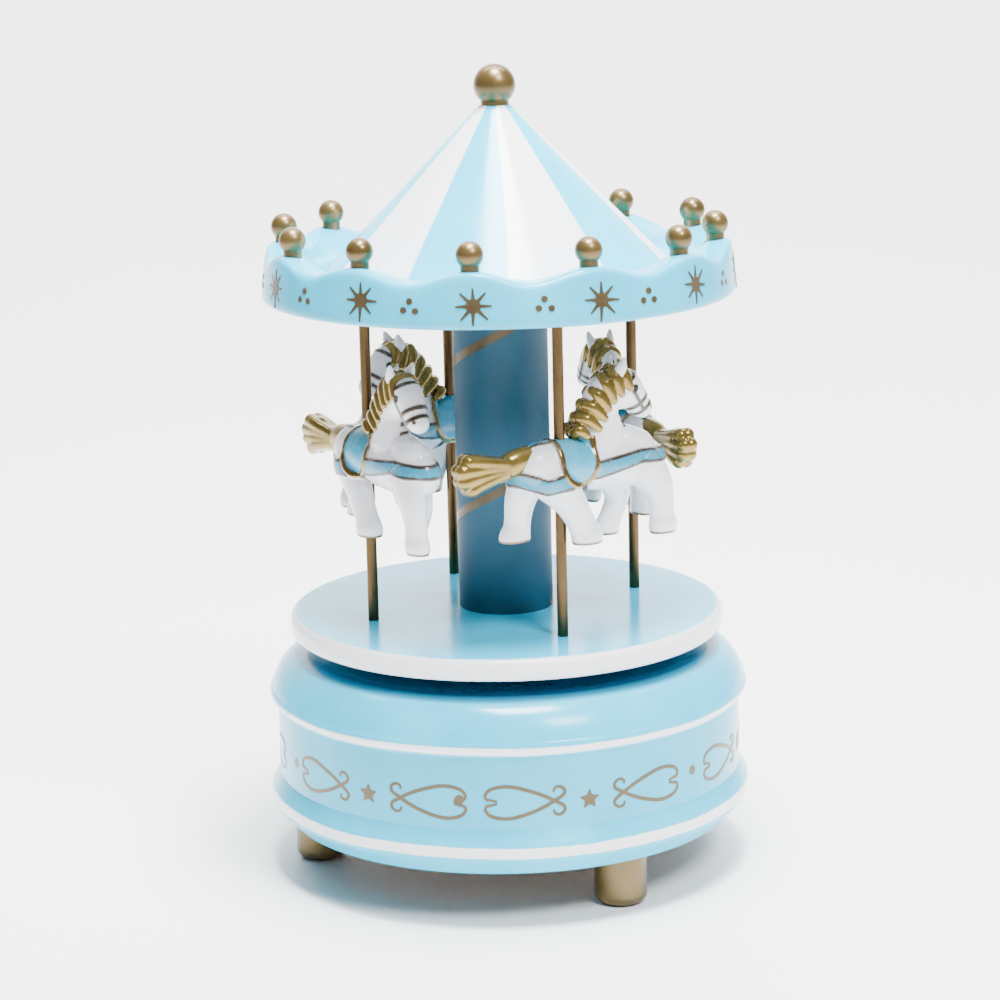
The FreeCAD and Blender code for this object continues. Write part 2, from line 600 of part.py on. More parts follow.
def winding_arbor():
    """Steel arbor: the spring's inner end hooks on it and the carousel's hub is fixed on top."""
    keep(rod("winding_arbor", ("arbor_radius",), ("arbor_foot",), ("arbor_top",)), "winding_arbor")


def pin_cylinder():
    """Thin tube with the tune's pins raised on it, one column of pins per note."""
    tube = Part.makeCylinder(size("pin_drum_radius"), size("drum_high_x") - size("drum_low_x"),
                             V(size("drum_low_x"), 0, size("axis_height")), ALONG_X)
    hollow = Part.makeCylinder(size("pin_drum_radius") - size("pin_drum_wall"), 30.0,
                               V(size("drum_low_x") - 1.0, 0, size("axis_height")), ALONG_X)
    tube = tube.cut(hollow)
    pitch = size("comb_wide") / COMB_TEETH
    pins = []
    for note in range(COMB_TEETH):
        for beat in range(PINS_PER_NOTE):
            angle = math.radians(note * NOTE_TURN + beat * BEAT_TURN + NOTE_SHIFT * (note % 3))
            way = V(0, math.cos(angle), math.sin(angle))
            foot = V(size("comb_low_x") + (note + 0.5) * pitch, 0, size("axis_height"))
            pins.append(Part.makeCylinder(0.17, size("pin_tall") + 0.3,
                                          foot + way * (size("pin_drum_radius") - 0.3), way))
    keep(solid("pin_cylinder", tube.multiFuse(pins)), "pin_cylinder")


def cylinder_caps():
    """The two discs that centre the tube on its shaft."""
    caps = []
    radius = size("pin_drum_radius") - size("pin_drum_wall")
    for low_x in (size("drum_low_x"), size("drum_high_x") - 0.9):
        start = V(low_x, 0, size("axis_height"))
        cap = Part.makeCylinder(radius, 0.9, start, ALONG_X)
        caps.append(cap.cut(Part.makeCylinder(size("shaft_radius"), 0.9, start, ALONG_X)))
    keep(solid("cylinder_caps", Part.makeCompound(caps)), "cylinder_caps")


def cylinder_train():
    """The cylinder's shaft with its pinion at the crown wheel and the drive wheel at the far end."""
    keep(rod("cylinder_shaft", ("shaft_radius",), ("shaft_low_x",), ("shaft_high_x",), axis=ALONG_X),
         "cylinder_shaft")
    level = V(size("pinion_low_x"), 0, size("axis_height"))
    pitch_radius = COARSE_MODULE * PINION_TEETH / 2
    shape = spur(PINION_TEETH, size("pinion_wide"), pitch_radius - 0.95, pitch_radius + 0.6,
                 0.72, size("shaft_radius"), 90.0)
    shape.translate(level)
    keep(solid("cylinder_pinion", shape), "cylinder_pinion")
    pitch_radius = FINE_MODULE * DRIVE_TEETH / 2
    shape = spur(DRIVE_TEETH, size("wheel_wide"), pitch_radius - 0.65, pitch_radius + 0.45,
                 0.55, size("shaft_radius"), 180.0)
    shape.translate(V(size("wheel_low_x"), 0, size("axis_height")))
    keep(solid("drive_wheel", shape), "drive_wheel")


def governor_train():
    """Second shaft of the governor: its pinion takes the drive wheel, its wheel turns the worm."""
    keep(rod("governor_shaft", ("governor_shaft",), ("governor_low_x",), ("governor_high_x",),
             y=("governor_y",), axis=ALONG_X), "governor_shaft")
    centre = V(0, size("governor_y"), size("axis_height"))
    pitch_radius = FINE_MODULE * GOVERNOR_TEETH / 2
    shape = spur(GOVERNOR_TEETH, 1.8, pitch_radius - 0.7, pitch_radius + 0.4, 0.55,
                 size("governor_shaft"), 22.5)
    shape.translate(centre + V(31.9, 0, 0))
    keep(solid("governor_pinion", shape), "governor_pinion")
    pitch_radius = FINE_MODULE * WORM_WHEEL_TEETH / 2
    shape = spur(WORM_WHEEL_TEETH, 1.2, pitch_radius - 0.6, pitch_radius + 0.4, 0.5,
                 size("governor_shaft"), 180.0 / WORM_WHEEL_TEETH)
    shape.translate(centre + V(size("worm_x") - 0.6, 0, 0))
    keep(solid("worm_wheel", shape), "worm_wheel")


def worm_shaft():
    """Upright worm: one right-handed thread on a thin spindle."""
    lead = math.pi * FINE_MODULE
    turns = 4
    foot = V(size("worm_x"), size("worm_y"), size("axis_height") - lead / 4 - lead * turns / 2)
    path = Part.makeHelix(lead, lead * turns, size("worm_core"))
    inner = size("worm_core") - 0.25
    outer = size("worm_outer")
    corners = [V(inner, 0, -0.36), V(outer, 0, -0.16), V(outer, 0, 0.16), V(inner, 0, 0.36)]
    thread = Part.Wire(path).makePipeShell([Part.makePolygon(corners + corners[:1])], True, True)
    thread.translate(foot)
    spindle = Part.makeCylinder(size("worm_core"), lead * (turns + 0.6), foot - UP * (lead * 0.3), UP)
    pivots = Part.makeCylinder(size("governor_shaft"), 18.9, V(size("worm_x"), size("worm_y"), 14.1), UP)
    keep(solid("worm_shaft", spindle.fuse(pivots).fuse(thread)), "worm_shaft")


def air_brake():
    """Butterfly fan at the worm's lower end, which holds the speed down."""
    centre = V(size("worm_x"), size("worm_y"), 14.5)
    hub = Part.makeCylinder(1.3, 3.6, centre, UP)
    wings = Part.makeBox(2 * size("fan_radius"), 0.35, 3.2, centre + V(-size("fan_radius"), -0.175, 0.2))
    bore = Part.makeCylinder(size("governor_shaft"), 6.0, centre - UP, UP)
    keep(solid("air_brake", hub.fuse(wings).cut(bore)), "air_brake")


# ---------------------------------------------------------------- carousel
POLE_NAMES = ("front_right", "rear_right", "rear_left", "front_left")


def pole_spots():
    """Foot of each pole, in the order of their names."""
    return [around(size("pole_circle"), size("pole_angle") + number * 360.0 / len(POLE_NAMES))
            for number in range(len(POLE_NAMES))]


def pole_holes(name, low_z, high_z):
    shapes = [Part.makeCylinder(size("pole_radius"), high_z - low_z, V(spot.x, spot.y, low_z), UP)
              for spot in pole_spots()]
    return solid(name, Part.makeCompound(shapes))


def drive_hub():
    """Flanged hub that fixes the carousel on the winding arbor."""
    body = turned("drive_hub", [
        (("arbor_radius",), ("hub_foot",)),
        (("hub_radius",), ("hub_foot",)),
        (("hub_radius",), ("deck_foot",)),
        (("hub_boss_radius",), ("deck_foot",)),
        (("hub_boss_radius",), ("hub_boss_top",)),
        (("arbor_radius",), ("hub_boss_top",)),
    ])
    tool = holes("hub_screw_holes", lifted(HUB_SCREWS, size("hub_foot")), HUB_SCREW["shank_radius"], 3.0, UP)
    head_tool = holes("hub_screw_heads", lifted(HUB_SCREWS, size("hub_foot")), HUB_SCREW["head_radius"],
                      HUB_SCREW["head_tall"], UP)
    keep(cut("drive_hub", body, tool, head_tool), "drive_hub")
    screws("hub_screws", lifted(HUB_SCREWS, size("hub_foot")), UP, **HUB_SCREW)


def platform():
    """Round deck with a rolled edge that the horses stand over."""
    body = turned("platform", [
        (("hub_boss_radius",), ("deck_foot",)),
        (("deck_radius", "-deck_round"), ("deck_foot",), "deck_round"),
        (("deck_radius",), ("deck_foot", "deck_round")),
        (("deck_radius",), ("deck_top", "-deck_round"), "deck_round"),
        (("deck_radius", "-deck_round"), ("deck_top",)),
        (("dowel_radius",), ("deck_top",)),
        (("dowel_radius",), ("hub_boss_top",)),
        (("hub_boss_radius",), ("hub_boss_top",)),
    ])
    drill = holes("platform_screw_holes", lifted(HUB_SCREWS, size("deck_foot") - 0.2),
                  HUB_SCREW["shank_radius"], HUB_SCREW["head_tall"] / 2 + HUB_SCREW["shank_long"]
                  - size("deck_foot") + size("hub_foot") + 0.2, UP)
    tool = pole_holes("platform_pole_holes", size("deck_top") - size("pole_sink"), size("deck_top") + 1.0)
    keep(cut("platform", body, drill, tool), "platform")


def column():
    """Centre column, doweled into the deck below and the canopy above."""
    post = rod("column", ("column_radius",), ("deck_top",), ("rim_foot",))
    low = rod("column_foot_hole", ("dowel_radius",), ("deck_top",), ("foot_dowel_top",))
    high = rod("column_head_hole", ("dowel_radius",), ("head_dowel_foot",), ("rim_foot",))
    keep(cut("column", post, low, high), "column")
    foot_dowel = rod("column_foot_dowel", ("dowel_radius",), ("hub_boss_top",), ("foot_dowel_top",))
    head_dowel = rod("column_head_dowel", ("dowel_radius",), ("head_dowel_foot",), ("head_dowel_top",))
    keep(foot_dowel, "column_foot_dowel")
    keep(head_dowel, "column_head_dowel")


def poles():
    """Four thin brass poles, each let into the deck and the canopy."""
    for name, spot in zip(POLE_NAMES, pole_spots()):
        pole = rod("pole_" + name, ("pole_radius",), ("deck_top", "-pole_sink"), ("rim_foot", "pole_sink"))
        pole.setExpression("Placement.Base.x", f"{spot.x:.4f}")
        pole.setExpression("Placement.Base.y", f"{spot.y:.4f}")
        keep(pole, "pole_" + name)


def limb(start, start_radius, end, end_radius):
    """A tapered limb with ball ends."""
    way = end - start
    if start_radius == end_radius:
        shape = Part.makeCylinder(start_radius, way.Length, start, way)
    else:
        shape = Part.makeCone(start_radius, end_radius, way.Length, start, way)
    return shape.fuse(Part.makeSphere(start_radius, start)).fuse(Part.makeSphere(end_radius, end))


def horse_shape():
    """A prancing horse heading +X with the pole on its local Z axis, heights above the floor."""
    trunk = limb(V(-5.6, 0, 93.6), 4.8, V(19.6, 0, 92.6), 5.0)
    inner, outer = 3.2, -3.2
    limbs = [
        limb(V(12.5, 0, 95.0), 4.4, V(10.5, 0, 106.5), 3.4),
        limb(V(13.5, 0, 109.6), 3.4, V(20.4, 0, 103.8), 2.2),
        limb(V(-6.4, inner, 91.0), 3.0, V(-8.6, inner, 85.0), 2.4),
        limb(V(-8.6, inner, 85.0), 2.4, V(-9.5, inner, 80.4), 2.2),
        limb(V(-3.4, outer, 90.5), 3.0, V(1.6, outer, 84.6), 2.4),
        limb(V(1.6, outer, 84.6), 2.4, V(4.4, outer, 79.2), 2.2),
        limb(V(14.2, inner, 90.5), 2.8, V(16.4, inner, 85.0), 2.2),
        limb(V(16.4, inner, 85.0), 2.2, V(14.0, inner, 79.0), 2.0),
        limb(V(20.4, outer, 91.0), 3.0, V(23.6, outer, 85.0), 2.4),
        limb(V(23.6, outer, 85.0), 2.4, V(24.2, outer, 78.8), 2.2),
        limb(V(-8.4, 0, 96.0), 2.4, V(-14.6, 0, 94.6), 2.3),
        limb(V(-14.6, 0, 94.6), 2.3, V(-21.8, 0, 94.8), 3.6),
    ]
    shape = trunk.multiFuse(limbs)
    return shape.cut(Part.makeCylinder(size("pole_radius"), 60.0, V(0, 0, 70.0), UP))


# how far each horse is turned inwards on its pole, and how much lower it is glued than the first
HORSE_SETTING = {
    "front_right": ("horse_yaw", None),
    "rear_right": ("rear_right_yaw", "rear_right_drop"),
    "rear_left": ("horse_yaw", "rear_left_drop"),
    "front_left": ("horse_yaw", None),
}


def horses():
    """Four horses of one pattern, each glued on its pole by hand."""
    shape = horse_shape()
    for number, (name, spot) in enumerate(zip(POLE_NAMES, pole_spots())):
        yaw, drop = HORSE_SETTING[name]
        heading = size("pole_angle") + number * 360.0 / len(POLE_NAMES) + size(yaw)
        at = V(spot.x, spot.y, -size(drop) if drop else 0.0)
        place = FreeCAD.Placement(at, FreeCAD.Rotation(UP, heading))
        keep(solid("horse_" + name, shape, place), "horse_" + name)


# ---------------------------------------------------------------- canopy
def ball_spots(height):
    """A point at one height on the axis of every crown ball."""
    return [around(size("ball_circle"), -size("ball_angle") + number * 360.0 / BALLS) + UP * height
            for number in range(BALLS)]


def canopy_rim():
    """Turned rim with a scalloped parapet, one crest under each ball."""
    body = turned("canopy_rim", [
        (("dowel_radius",), ("rim_foot",)),
        (("rim_foot_radius",), ("rim_foot",), "rim_round"),
        (("rim_wide",), ("rim_wide_height",)),
        (("rim_crest_radius",), ("rim_crest",), "rim_round"),
        (("rim_top_radius",), ("rim_top",)),
        (("rim_shelf_radius",), ("rim_shelf",)),
        (("rim_inner_radius",), ("rim_floor",)),
        (("dowel_radius",), ("rim_floor",)),
    ])
    troughs = []
    height = size("rim_top") - size("scallop_depth") + size("scallop_round")
    for number in range(BALLS):
        angle = -size("ball_angle") + (number + 0.5) * 360.0 / BALLS
        way = around(1.0, angle)
        start = way * TROUGH_START + UP * height
        troughs.append(Part.makeCylinder(size("scallop_round"), TROUGH_LONG, start, way))
    scallops = solid("rim_scallops", Part.makeCompound(troughs))
    sockets = pole_holes("rim_pole_holes", size("rim_foot") - 1.0, size("rim_foot") + size("pole_sink"))
    necks = holes("rim_ball_holes", ball_spots(size("ball_neck_foot")), size("ball_neck_radius"), 3.0, UP)
    keep(cut("canopy_rim", cut("canopy_rim_drilled", body, sockets, necks), scallops), "canopy_rim")


def canopy_cone():
    """Pointed roof, glued on the rim's floor."""
    cone = DOC.addObject("Part::Cone", "canopy_cone_form")
    bind(cone, "Radius1", "cone_radius")
    bind(cone, "Radius2", "cone_tip_radius")
    bind(cone, "Height", "cone_tip", "-rim_floor")
    bind(cone, "Placement.Base.z", "rim_floor")
    low = rod("cone_dowel_hole", ("dowel_radius",), ("rim_floor",), ("head_dowel_top",))
    high = rod("cone_peg_hole", ("finial_peg",), ("finial_peg_foot",), ("cone_tip",))
    keep(cut("canopy_cone", cone, low, high), "canopy_cone")


def finial():
    """Large ball on a peg at the roof's point."""
    ball = DOC.addObject("Part::Sphere", "finial_ball")
    bind(ball, "Radius", "finial_radius")
    bind(ball, "Placement.Base.z", "finial_height")
    collar = rod("finial_collar", ("finial_peg", "finial_peg"), ("cone_tip",), ("finial_height",))
    peg = rod("finial_peg", ("finial_peg",), ("finial_peg_foot",), ("finial_height",))
    bottom = rod("finial_flat", ("finial_radius",), ("finial_peg_foot",), ("cone_tip",))
    ball_cut = cut("finial_ball", ball, bottom)
    keep(fuse("finial", ball_cut, collar, peg), "finial")


def crown_balls():
    """Twelve turned balls, each on a short neck let into a crest of the rim."""
    shapes = []
    neck_long = size("ball_height") - size("ball_neck_foot")
    for centre, foot in zip(ball_spots(size("ball_height")), ball_spots(size("ball_neck_foot"))):
        neck = Part.makeCylinder(size("ball_neck_radius"), neck_long, foot, UP)
        shapes.append(Part.makeSphere(size("ball_radius"), centre).fuse(neck))
    keep(solid("crown_balls", Part.makeCompound(shapes)), "crown_balls")


# ---------------------------------------------------------------- build, check and write
def check_document():
    """Stop unless every object and every kept shape is sound."""
    DOC.recompute()
    bad = [item.Name for item in DOC.Objects if {"Invalid", "Error"} & set(item.State)]
    if bad:
        raise RuntimeError("failed objects: " + ", ".join(bad))
    for item in NODES:
        if item.Shape.isNull() or not item.Shape.isValid() or not item.Shape.Solids:
            raise RuntimeError("bad shape: " + item.Label)


def write_parts():
    os.makedirs("parts", exist_ok=True)
    for item in NODES:
        item.Shape.exportStep(f"parts/{item.Label}.step")


def build():
    fill_sheet()
    for make in (base_drum, feet, bottom_cover, bedplate, arbor_bush, spring_housing, mainspring,
                 cylinder_brackets, comb_block, comb, governor_frame, winding_arbor, main_gear, ratchet,
                 pin_cylinder, cylinder_caps, cylinder_train, governor_train, worm_shaft, air_brake,
                 drive_hub, platform, column, poles, horses, canopy_rim, canopy_cone, finial, crown_balls):
        make()
    check_document()
    write_parts()


build()
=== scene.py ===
"""Looks of the carousel music box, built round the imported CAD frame. Metres, +Z up, -Y front."""

import json
import math
import random

import bmesh
import bpy
import numpy as np
from mathutils import Matrix, Vector


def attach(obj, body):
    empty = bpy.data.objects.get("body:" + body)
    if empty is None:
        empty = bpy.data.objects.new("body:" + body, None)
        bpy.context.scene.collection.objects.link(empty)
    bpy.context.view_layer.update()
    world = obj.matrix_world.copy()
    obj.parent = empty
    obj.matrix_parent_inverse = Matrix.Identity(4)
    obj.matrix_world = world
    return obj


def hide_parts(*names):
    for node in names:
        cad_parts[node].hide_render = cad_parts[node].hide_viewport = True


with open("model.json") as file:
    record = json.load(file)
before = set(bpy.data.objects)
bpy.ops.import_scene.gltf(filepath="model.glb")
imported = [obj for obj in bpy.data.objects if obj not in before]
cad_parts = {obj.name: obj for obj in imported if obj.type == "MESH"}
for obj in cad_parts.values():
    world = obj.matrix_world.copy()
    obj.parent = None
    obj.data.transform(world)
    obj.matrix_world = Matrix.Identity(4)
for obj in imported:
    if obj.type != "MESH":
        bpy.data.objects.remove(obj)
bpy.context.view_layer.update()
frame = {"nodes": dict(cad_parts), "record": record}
MM = 0.001

# Lengths are in millimetres until they meet MM. Angles about the main axis are in degrees: 0 is the front,
# and they grow counter-clockwise as seen from above.
CREST_ANGLE = -7.1
CRESTS = 12
POLE_ANGLE = 22.3
POLE_CIRCLE = 31.16

# drum: heights of the white lines on its beads, where the painted shadow under the deck starts (dark navy
# standing in for the deck's cast shadow), and its wall and motif row
UPPER_LINE = (37.5, 39.5)
LOWER_LINE = (15.7, 18.0)
LINE_EDGE = 0.12
PAINTED_SHADOW_ABOVE = (44.0, 44.5)
PAINTED_SHADOW_WITHIN = (44.8, 47.4)
DRUM_WALL = 51.0
DRUM_MOTIFS = 27.0
# deck and roof
WHITE_EDGE = (46.25, 46.55)
STRIPE_PAIRS = 5
STRIPE_ANGLE = 4.0
# rim: (height, radius) at the foot and the head of its band, its motif row and the top of its undercoat
RIM_FOOT = (127.1, 51.2)
RIM_HEAD = (136.6, 50.2)
RIM_MOTIFS = 131.2
BARE_BELOW = (125.95, 126.35)
SCALLOP_DEPTH = 2.5
# column ribbon
COLUMN_WALL = 10.3
RIBBON_SPAN = (57.0, 125.7)
RIBBON_START = 67.7
RIBBON_PITCH = 34.0
RIBBON_HALF = 1.05
# each horse: how far it is turned inwards on its pole, and how much lower than the first it sits
HORSES = {
    "front_right": (10.5, 0.0),
    "rear_right": (4.0, 2.0),
    "rear_left": (10.5, 0.8),
    "front_left": (10.5, 0.0),
}


# ---------------------------------------------------------------- node helpers
class Nodes:
    """Short-hand for building one material's node tree."""

    def __init__(self, name):
        self.material = bpy.data.materials.new(name)
        self.material.use_nodes = True
        self.tree = self.material.node_tree
        self.tree.nodes.clear()
        self.shader = self.add("ShaderNodeBsdfPrincipled")
        output = self.add("ShaderNodeOutputMaterial")
        self.link(self.shader.outputs[0], output.inputs[0])

    def add(self, kind, **settings):
        node = self.tree.nodes.new(kind)
        for key, value in settings.items():
            setattr(node, key, value)
        return node

    def link(self, source, target):
        self.tree.links.new(source, target)

    def feed(self, socket, value):
        """Join a socket to a value, a colour or another node's output."""
        if isinstance(value, bpy.types.NodeSocket):
            self.link(value, socket)
        else:
            socket.default_value = value

    def math(self, operation, first, second=0.0, clamp=False):
        node = self.add("ShaderNodeMath", operation=operation, use_clamp=clamp)
        self.feed(node.inputs[0], first)
        self.feed(node.inputs[1], second)
        return node.outputs[0]

    def mix(self, factor, first, second):
        node = self.add("ShaderNodeMix", data_type="RGBA")
        self.feed(node.inputs["Factor"], factor)
        self.feed(node.inputs[6], first)
        self.feed(node.inputs[7], second)
        return node.outputs[2]

    def place(self):
        """The surface point, in metres, in the piece's own frame."""
        return self.add("ShaderNodeTexCoord").outputs["Object"]

    def stretched(self, point, scale):
        """The surface point with its axes stretched, for noise with a grain."""
        node = self.add("ShaderNodeMapping")
        self.link(point, node.inputs[0])
        node.inputs["Scale"].default_value = scale
        return node.outputs[0]

    def axes(self, point):
        """The x, y and z of a point."""
        node = self.add("ShaderNodeSeparateXYZ")
        self.link(point, node.inputs[0])
        return node.outputs

    def from_axis(self, point):
        """A point's distance from the main axis."""
        x, y, _ = self.axes(point)
        squares = [self.math("MULTIPLY", way, way) for way in (x, y)]
        return self.math("SQRT", self.math("ADD", *squares))

    def noise(self, point, scale, detail, roughness=0.5):
        node = self.add("ShaderNodeTexNoise")
        self.link(point, node.inputs["Vector"])
        node.inputs["Scale"].default_value = scale
        node.inputs["Detail"].default_value = detail
        node.inputs["Roughness"].default_value = roughness
        return node.outputs[0]

    def wobble(self, point, scale, detail, reach):
        """Noise about zero, for edges painted by hand."""
        return self.math("MULTIPLY", self.math("SUBTRACT", self.noise(point, scale, detail), 0.5), reach)

    def ramp(self, value, low, high, start=0.0, end=1.0):
        """Map a value from low..high onto start..end, held at both ends."""
        node = self.add("ShaderNodeMapRange")
        self.feed(node.inputs["Value"], value)
        for key, number in zip(("From Min", "From Max", "To Min", "To Max"), (low, high, start, end)):
            node.inputs[key].default_value = number
        return node.outputs[0]

    def bump(self, height, distance):
        """Relief of the shader's normal, distance in metres."""
        node = self.add("ShaderNodeBump")
        node.inputs["Strength"].default_value = 1.0
        node.inputs["Distance"].default_value = distance
        self.link(height, node.inputs["Height"])
        self.link(node.outputs[0], self.shader.inputs["Normal"])

    def set(self, **values):
        """Set the shader's own sockets, an underscore standing for a space."""
        for key, value in values.items():
            self.feed(self.shader.inputs[key.replace("_", " ")], value)


def srgb(red, green, blue):
    """A display colour, 0 to 255, as the linear colour that shaders use."""
    def linear(value):
        value /= 255.0
        return value / 12.92 if value <= 0.04045 else ((value + 0.055) / 1.055) ** 2.4
    return (linear(red), linear(green), linear(blue), 1.0)


def darker(colour, share):
    """A colour with this share of its light."""
    return tuple(value * share for value in colour[:3]) + (1.0,)


SKY = (0.006, 0.46, 0.70, 1.0)
SKY_PALE = (0.02, 0.55, 0.80, 1.0)
# the column's blue: partly its own deeper paint, partly painted shade from the canopy above
DEEP_BLUE_WITH_SHADE = (0.022, 0.086, 0.138, 1.0)
DEEP_BLUE_WITH_SHADE_PALE = (0.028, 0.112, 0.180, 1.0)
DECK_BLUE = (0.010, 0.57, 0.90, 1.0)
DECK_PALE = (0.02, 0.62, 0.94, 1.0)
ROOF_BLUE = (0.012, 0.55, 0.82, 1.0)
ROOF_PALE = (0.03, 0.62, 0.88, 1.0)
WHITE = srgb(242, 243, 247)
# dark navy painted on the drum's shoulder under the deck: a painted shadow of the deck
PAINTED_SHADOW_NAVY = (0.010, 0.05, 0.10, 1.0)
UNDERCOAT = (0.16, 0.20, 0.21, 1.0)
GOLD_PAINT = (0.165, 0.108, 0.034, 1.0)
MOTIF_GOLD = (0.115, 0.082, 0.035, 1.0)
RIBBON_GOLD = (0.12, 0.085, 0.04, 1.0)
GILT = (0.30, 0.205, 0.045, 1.0)
ANTIQUE_BRASS = (0.13, 0.082, 0.037, 1.0)
HORSE_SHADE = srgb(196, 204, 218)
FLOOR_TINTS = ((0.95, 0.95, 0.95, 1.0), (0.98, 0.98, 0.98, 1.0))
SURROUND = (0.93, 0.96, 1.0, 1.0)
# the horses' trappings and eyes, as linear red, green and blue
SADDLE_BLUE = np.array((0.03, 0.30, 0.46))
SADDLE_GOLD = np.array((0.26, 0.165, 0.05))
LEATHER = np.array((0.060, 0.038, 0.020))
EYE_BLACK = np.array((0.012, 0.01, 0.01))


# ---------------------------------------------------------------- materials
def lacquer(name, colour, mottled, rough=0.16):
    """Glossy sprayed paint on turned wood: faint orange peel, cloudiness and a clear coat."""
    n = Nodes(name)
    point = n.place()
    cloud = n.noise(point, 55.0, 4.0)
    fleck = n.noise(point, 900.0, 2.0)
    tint = n.mix(n.ramp(cloud, 0.35, 0.7), colour, mottled)
    n.set(Base_Color=tint, Roughness=n.ramp(cloud, 0.3, 0.7, rough, rough + 0.08))
    n.set(Coat_Weight=0.12, Coat_Roughness=0.08, IOR=1.42, Specular_IOR_Level=0.36)
    peel = n.math("MULTIPLY", n.noise(point, 260.0, 2.0), 0.6)
    n.bump(n.math("ADD", peel, n.math("MULTIPLY", fleck, 0.12)), 0.06 * MM)
    return n, point, tint


def paint_band(n, value, span):
    """1 where a value in metres lies in a span in millimetres, with soft brush edges."""
    low, high = span
    rising = n.ramp(value, (low - LINE_EDGE) * MM, (low + LINE_EDGE) * MM)
    falling = n.ramp(value, (high - LINE_EDGE) * MM, (high + LINE_EDGE) * MM, 1.0, 0.0)
    return n.math("MULTIPLY", rising, falling)


def passing(n, value, span, start=0.0, end=1.0):
    """Goes from start to end while a value in metres crosses a span in millimetres."""
    return n.ramp(value, span[0] * MM, span[1] * MM, start, end)


def drum_material():
    """Blue drum with white lines on its two beads, a little worn, and a painted shadow in dark navy on the
    shoulder under the deck's edge.
    """
    n, point, tint = lacquer("drum_lacquer", SKY, SKY_PALE)
    height = n.axes(point)[2]
    # painted shadow: dark navy on the shoulder under the deck's edge stands in for the shadow the deck
    # casts there
    painted_shadow_reach = passing(n, n.from_axis(point), PAINTED_SHADOW_WITHIN, 1.0, 0.0)
    under = n.math("MULTIPLY", painted_shadow_reach, passing(n, height, PAINTED_SHADOW_ABOVE))
    tint = n.mix(under, tint, PAINTED_SHADOW_NAVY)
    level = n.math("ADD", height, n.wobble(point, 45.0, 3.0, 1.1 * MM))
    lines = n.math("ADD", paint_band(n, level, UPPER_LINE), paint_band(n, level, LOWER_LINE), clamp=True)
    chips = n.ramp(n.noise(point, 190.0, 4.0, 0.65), 0.66, 0.69, 1.0, 0.0)
    lines = n.math("MULTIPLY", lines, chips)
    n.set(Base_Color=n.mix(lines, tint, WHITE))
    return n.material


def deck_material():
    """Blue deck with a white rolled edge."""
    n, point, tint = lacquer("deck_lacquer", DECK_BLUE, DECK_PALE)
    radius = n.math("ADD", n.from_axis(point), n.wobble(point, 60.0, 3.0, 0.8 * MM))
    edge = passing(n, radius, WHITE_EDGE)
    n.set(Base_Color=n.mix(edge, tint, WHITE))
    return n.material


def roof_material():
    """Ten hand-painted stripes, white and light blue, that narrow towards the point."""
    n, point, tint = lacquer("roof_lacquer", ROOF_BLUE, ROOF_PALE)
    x, y, _ = n.axes(point)
    turn = n.math("ARCTAN2", x, n.math("MULTIPLY", y, -1.0))
    start = n.math("SUBTRACT", turn, math.radians(STRIPE_ANGLE))
    phase = n.math("ADD", start, n.wobble(point, 25.0, 2.0, 0.10))
    wave = n.math("SINE", n.math("MULTIPLY", phase, float(STRIPE_PAIRS)))
    blue = n.ramp(wave, -0.025, 0.025, 1.0, 0.0)
    n.set(Base_Color=n.mix(blue, WHITE, tint))
    return n.material


def column_material():
    """Deeper blue, duller than the rest; the colour is its own deeper paint, darkened further as painted
    shade from the canopy.
    """
    n = lacquer("column_lacquer", DEEP_BLUE_WITH_SHADE, DEEP_BLUE_WITH_SHADE_PALE, 0.5)[0]
    n.set(Coat_Weight=0.0)
    return n.material


def rim_material():
    """The canopy's blue band, its underside left in a thin greyish undercoat."""
    n, point, tint = lacquer("rim_lacquer", SKY, SKY_PALE)
    height = n.math("ADD", n.axes(point)[2], n.wobble(point, 80.0, 3.0, 0.4 * MM))
    under = passing(n, height, BARE_BELOW, 1.0, 0.0)
    grain = n.ramp(n.noise(point, 380.0, 4.0), 0.35, 0.7)
    coat = n.mix(grain, UNDERCOAT, darker(UNDERCOAT, 0.8))
    n.set(Base_Color=n.mix(under, tint, coat))
    return n.material


def gold_material(name, colour, rough=0.27, dull=0.12):
    """Satin gold bronze paint: metallic pigment with duller patches."""
    n = Nodes(name)
    point = n.place()
    cloud = n.noise(point, 160.0, 4.0, 0.6)
    pigment = n.math("MULTIPLY", n.noise(point, 2600.0, 2.0), 0.4)
    n.set(Base_Color=n.mix(n.ramp(cloud, 0.35, 0.68), darker(colour, 0.72), colour), Metallic=0.62)
    n.set(Roughness=n.ramp(cloud, 0.3, 0.7, rough, rough + dull), Coat_Weight=0.3, Coat_Roughness=0.2)
    n.bump(n.math("ADD", pigment, cloud), 0.04 * MM)
    return n.material


def metal_material(name, colour, rough, streak=(1.0, 1.0, 12.0)):
    """Machined or drawn metal with fine lines along one way."""
    n = Nodes(name)
    point = n.place()
    lines = n.noise(n.stretched(point, streak), 900.0, 3.0)
    cloud = n.noise(point, 120.0, 3.0)
    n.set(Base_Color=n.mix(n.ramp(cloud, 0.3, 0.75), colour, darker(colour, 0.7)), Metallic=1.0)
    n.set(Roughness=n.ramp(lines, 0.3, 0.7, rough, rough + 0.14))
    n.bump(lines, 0.02 * MM)
    return n.material


def wood_material(name, light, dark, along=(1.0, 1.0, 0.12)):
    """Bare wood or fibreboard with grain along one way."""
    n = Nodes(name)
    point = n.place()
    grain = n.noise(n.stretched(point, along), 420.0, 6.0, 0.62)
    n.set(Base_Color=n.mix(n.ramp(grain, 0.35, 0.68), light, dark), Roughness=0.62)
    n.bump(grain, 0.08 * MM)
    return n.material


def plastic_material(name, colour, rough):
    """Moulded plastic with fine specks."""
    n = Nodes(name)
    speck = n.noise(n.place(), 700.0, 3.0)
    n.set(Base_Color=n.mix(n.ramp(speck, 0.35, 0.7), colour, darker(colour, 0.88)), Roughness=rough)
    n.bump(speck, 0.02 * MM)
    return n.material


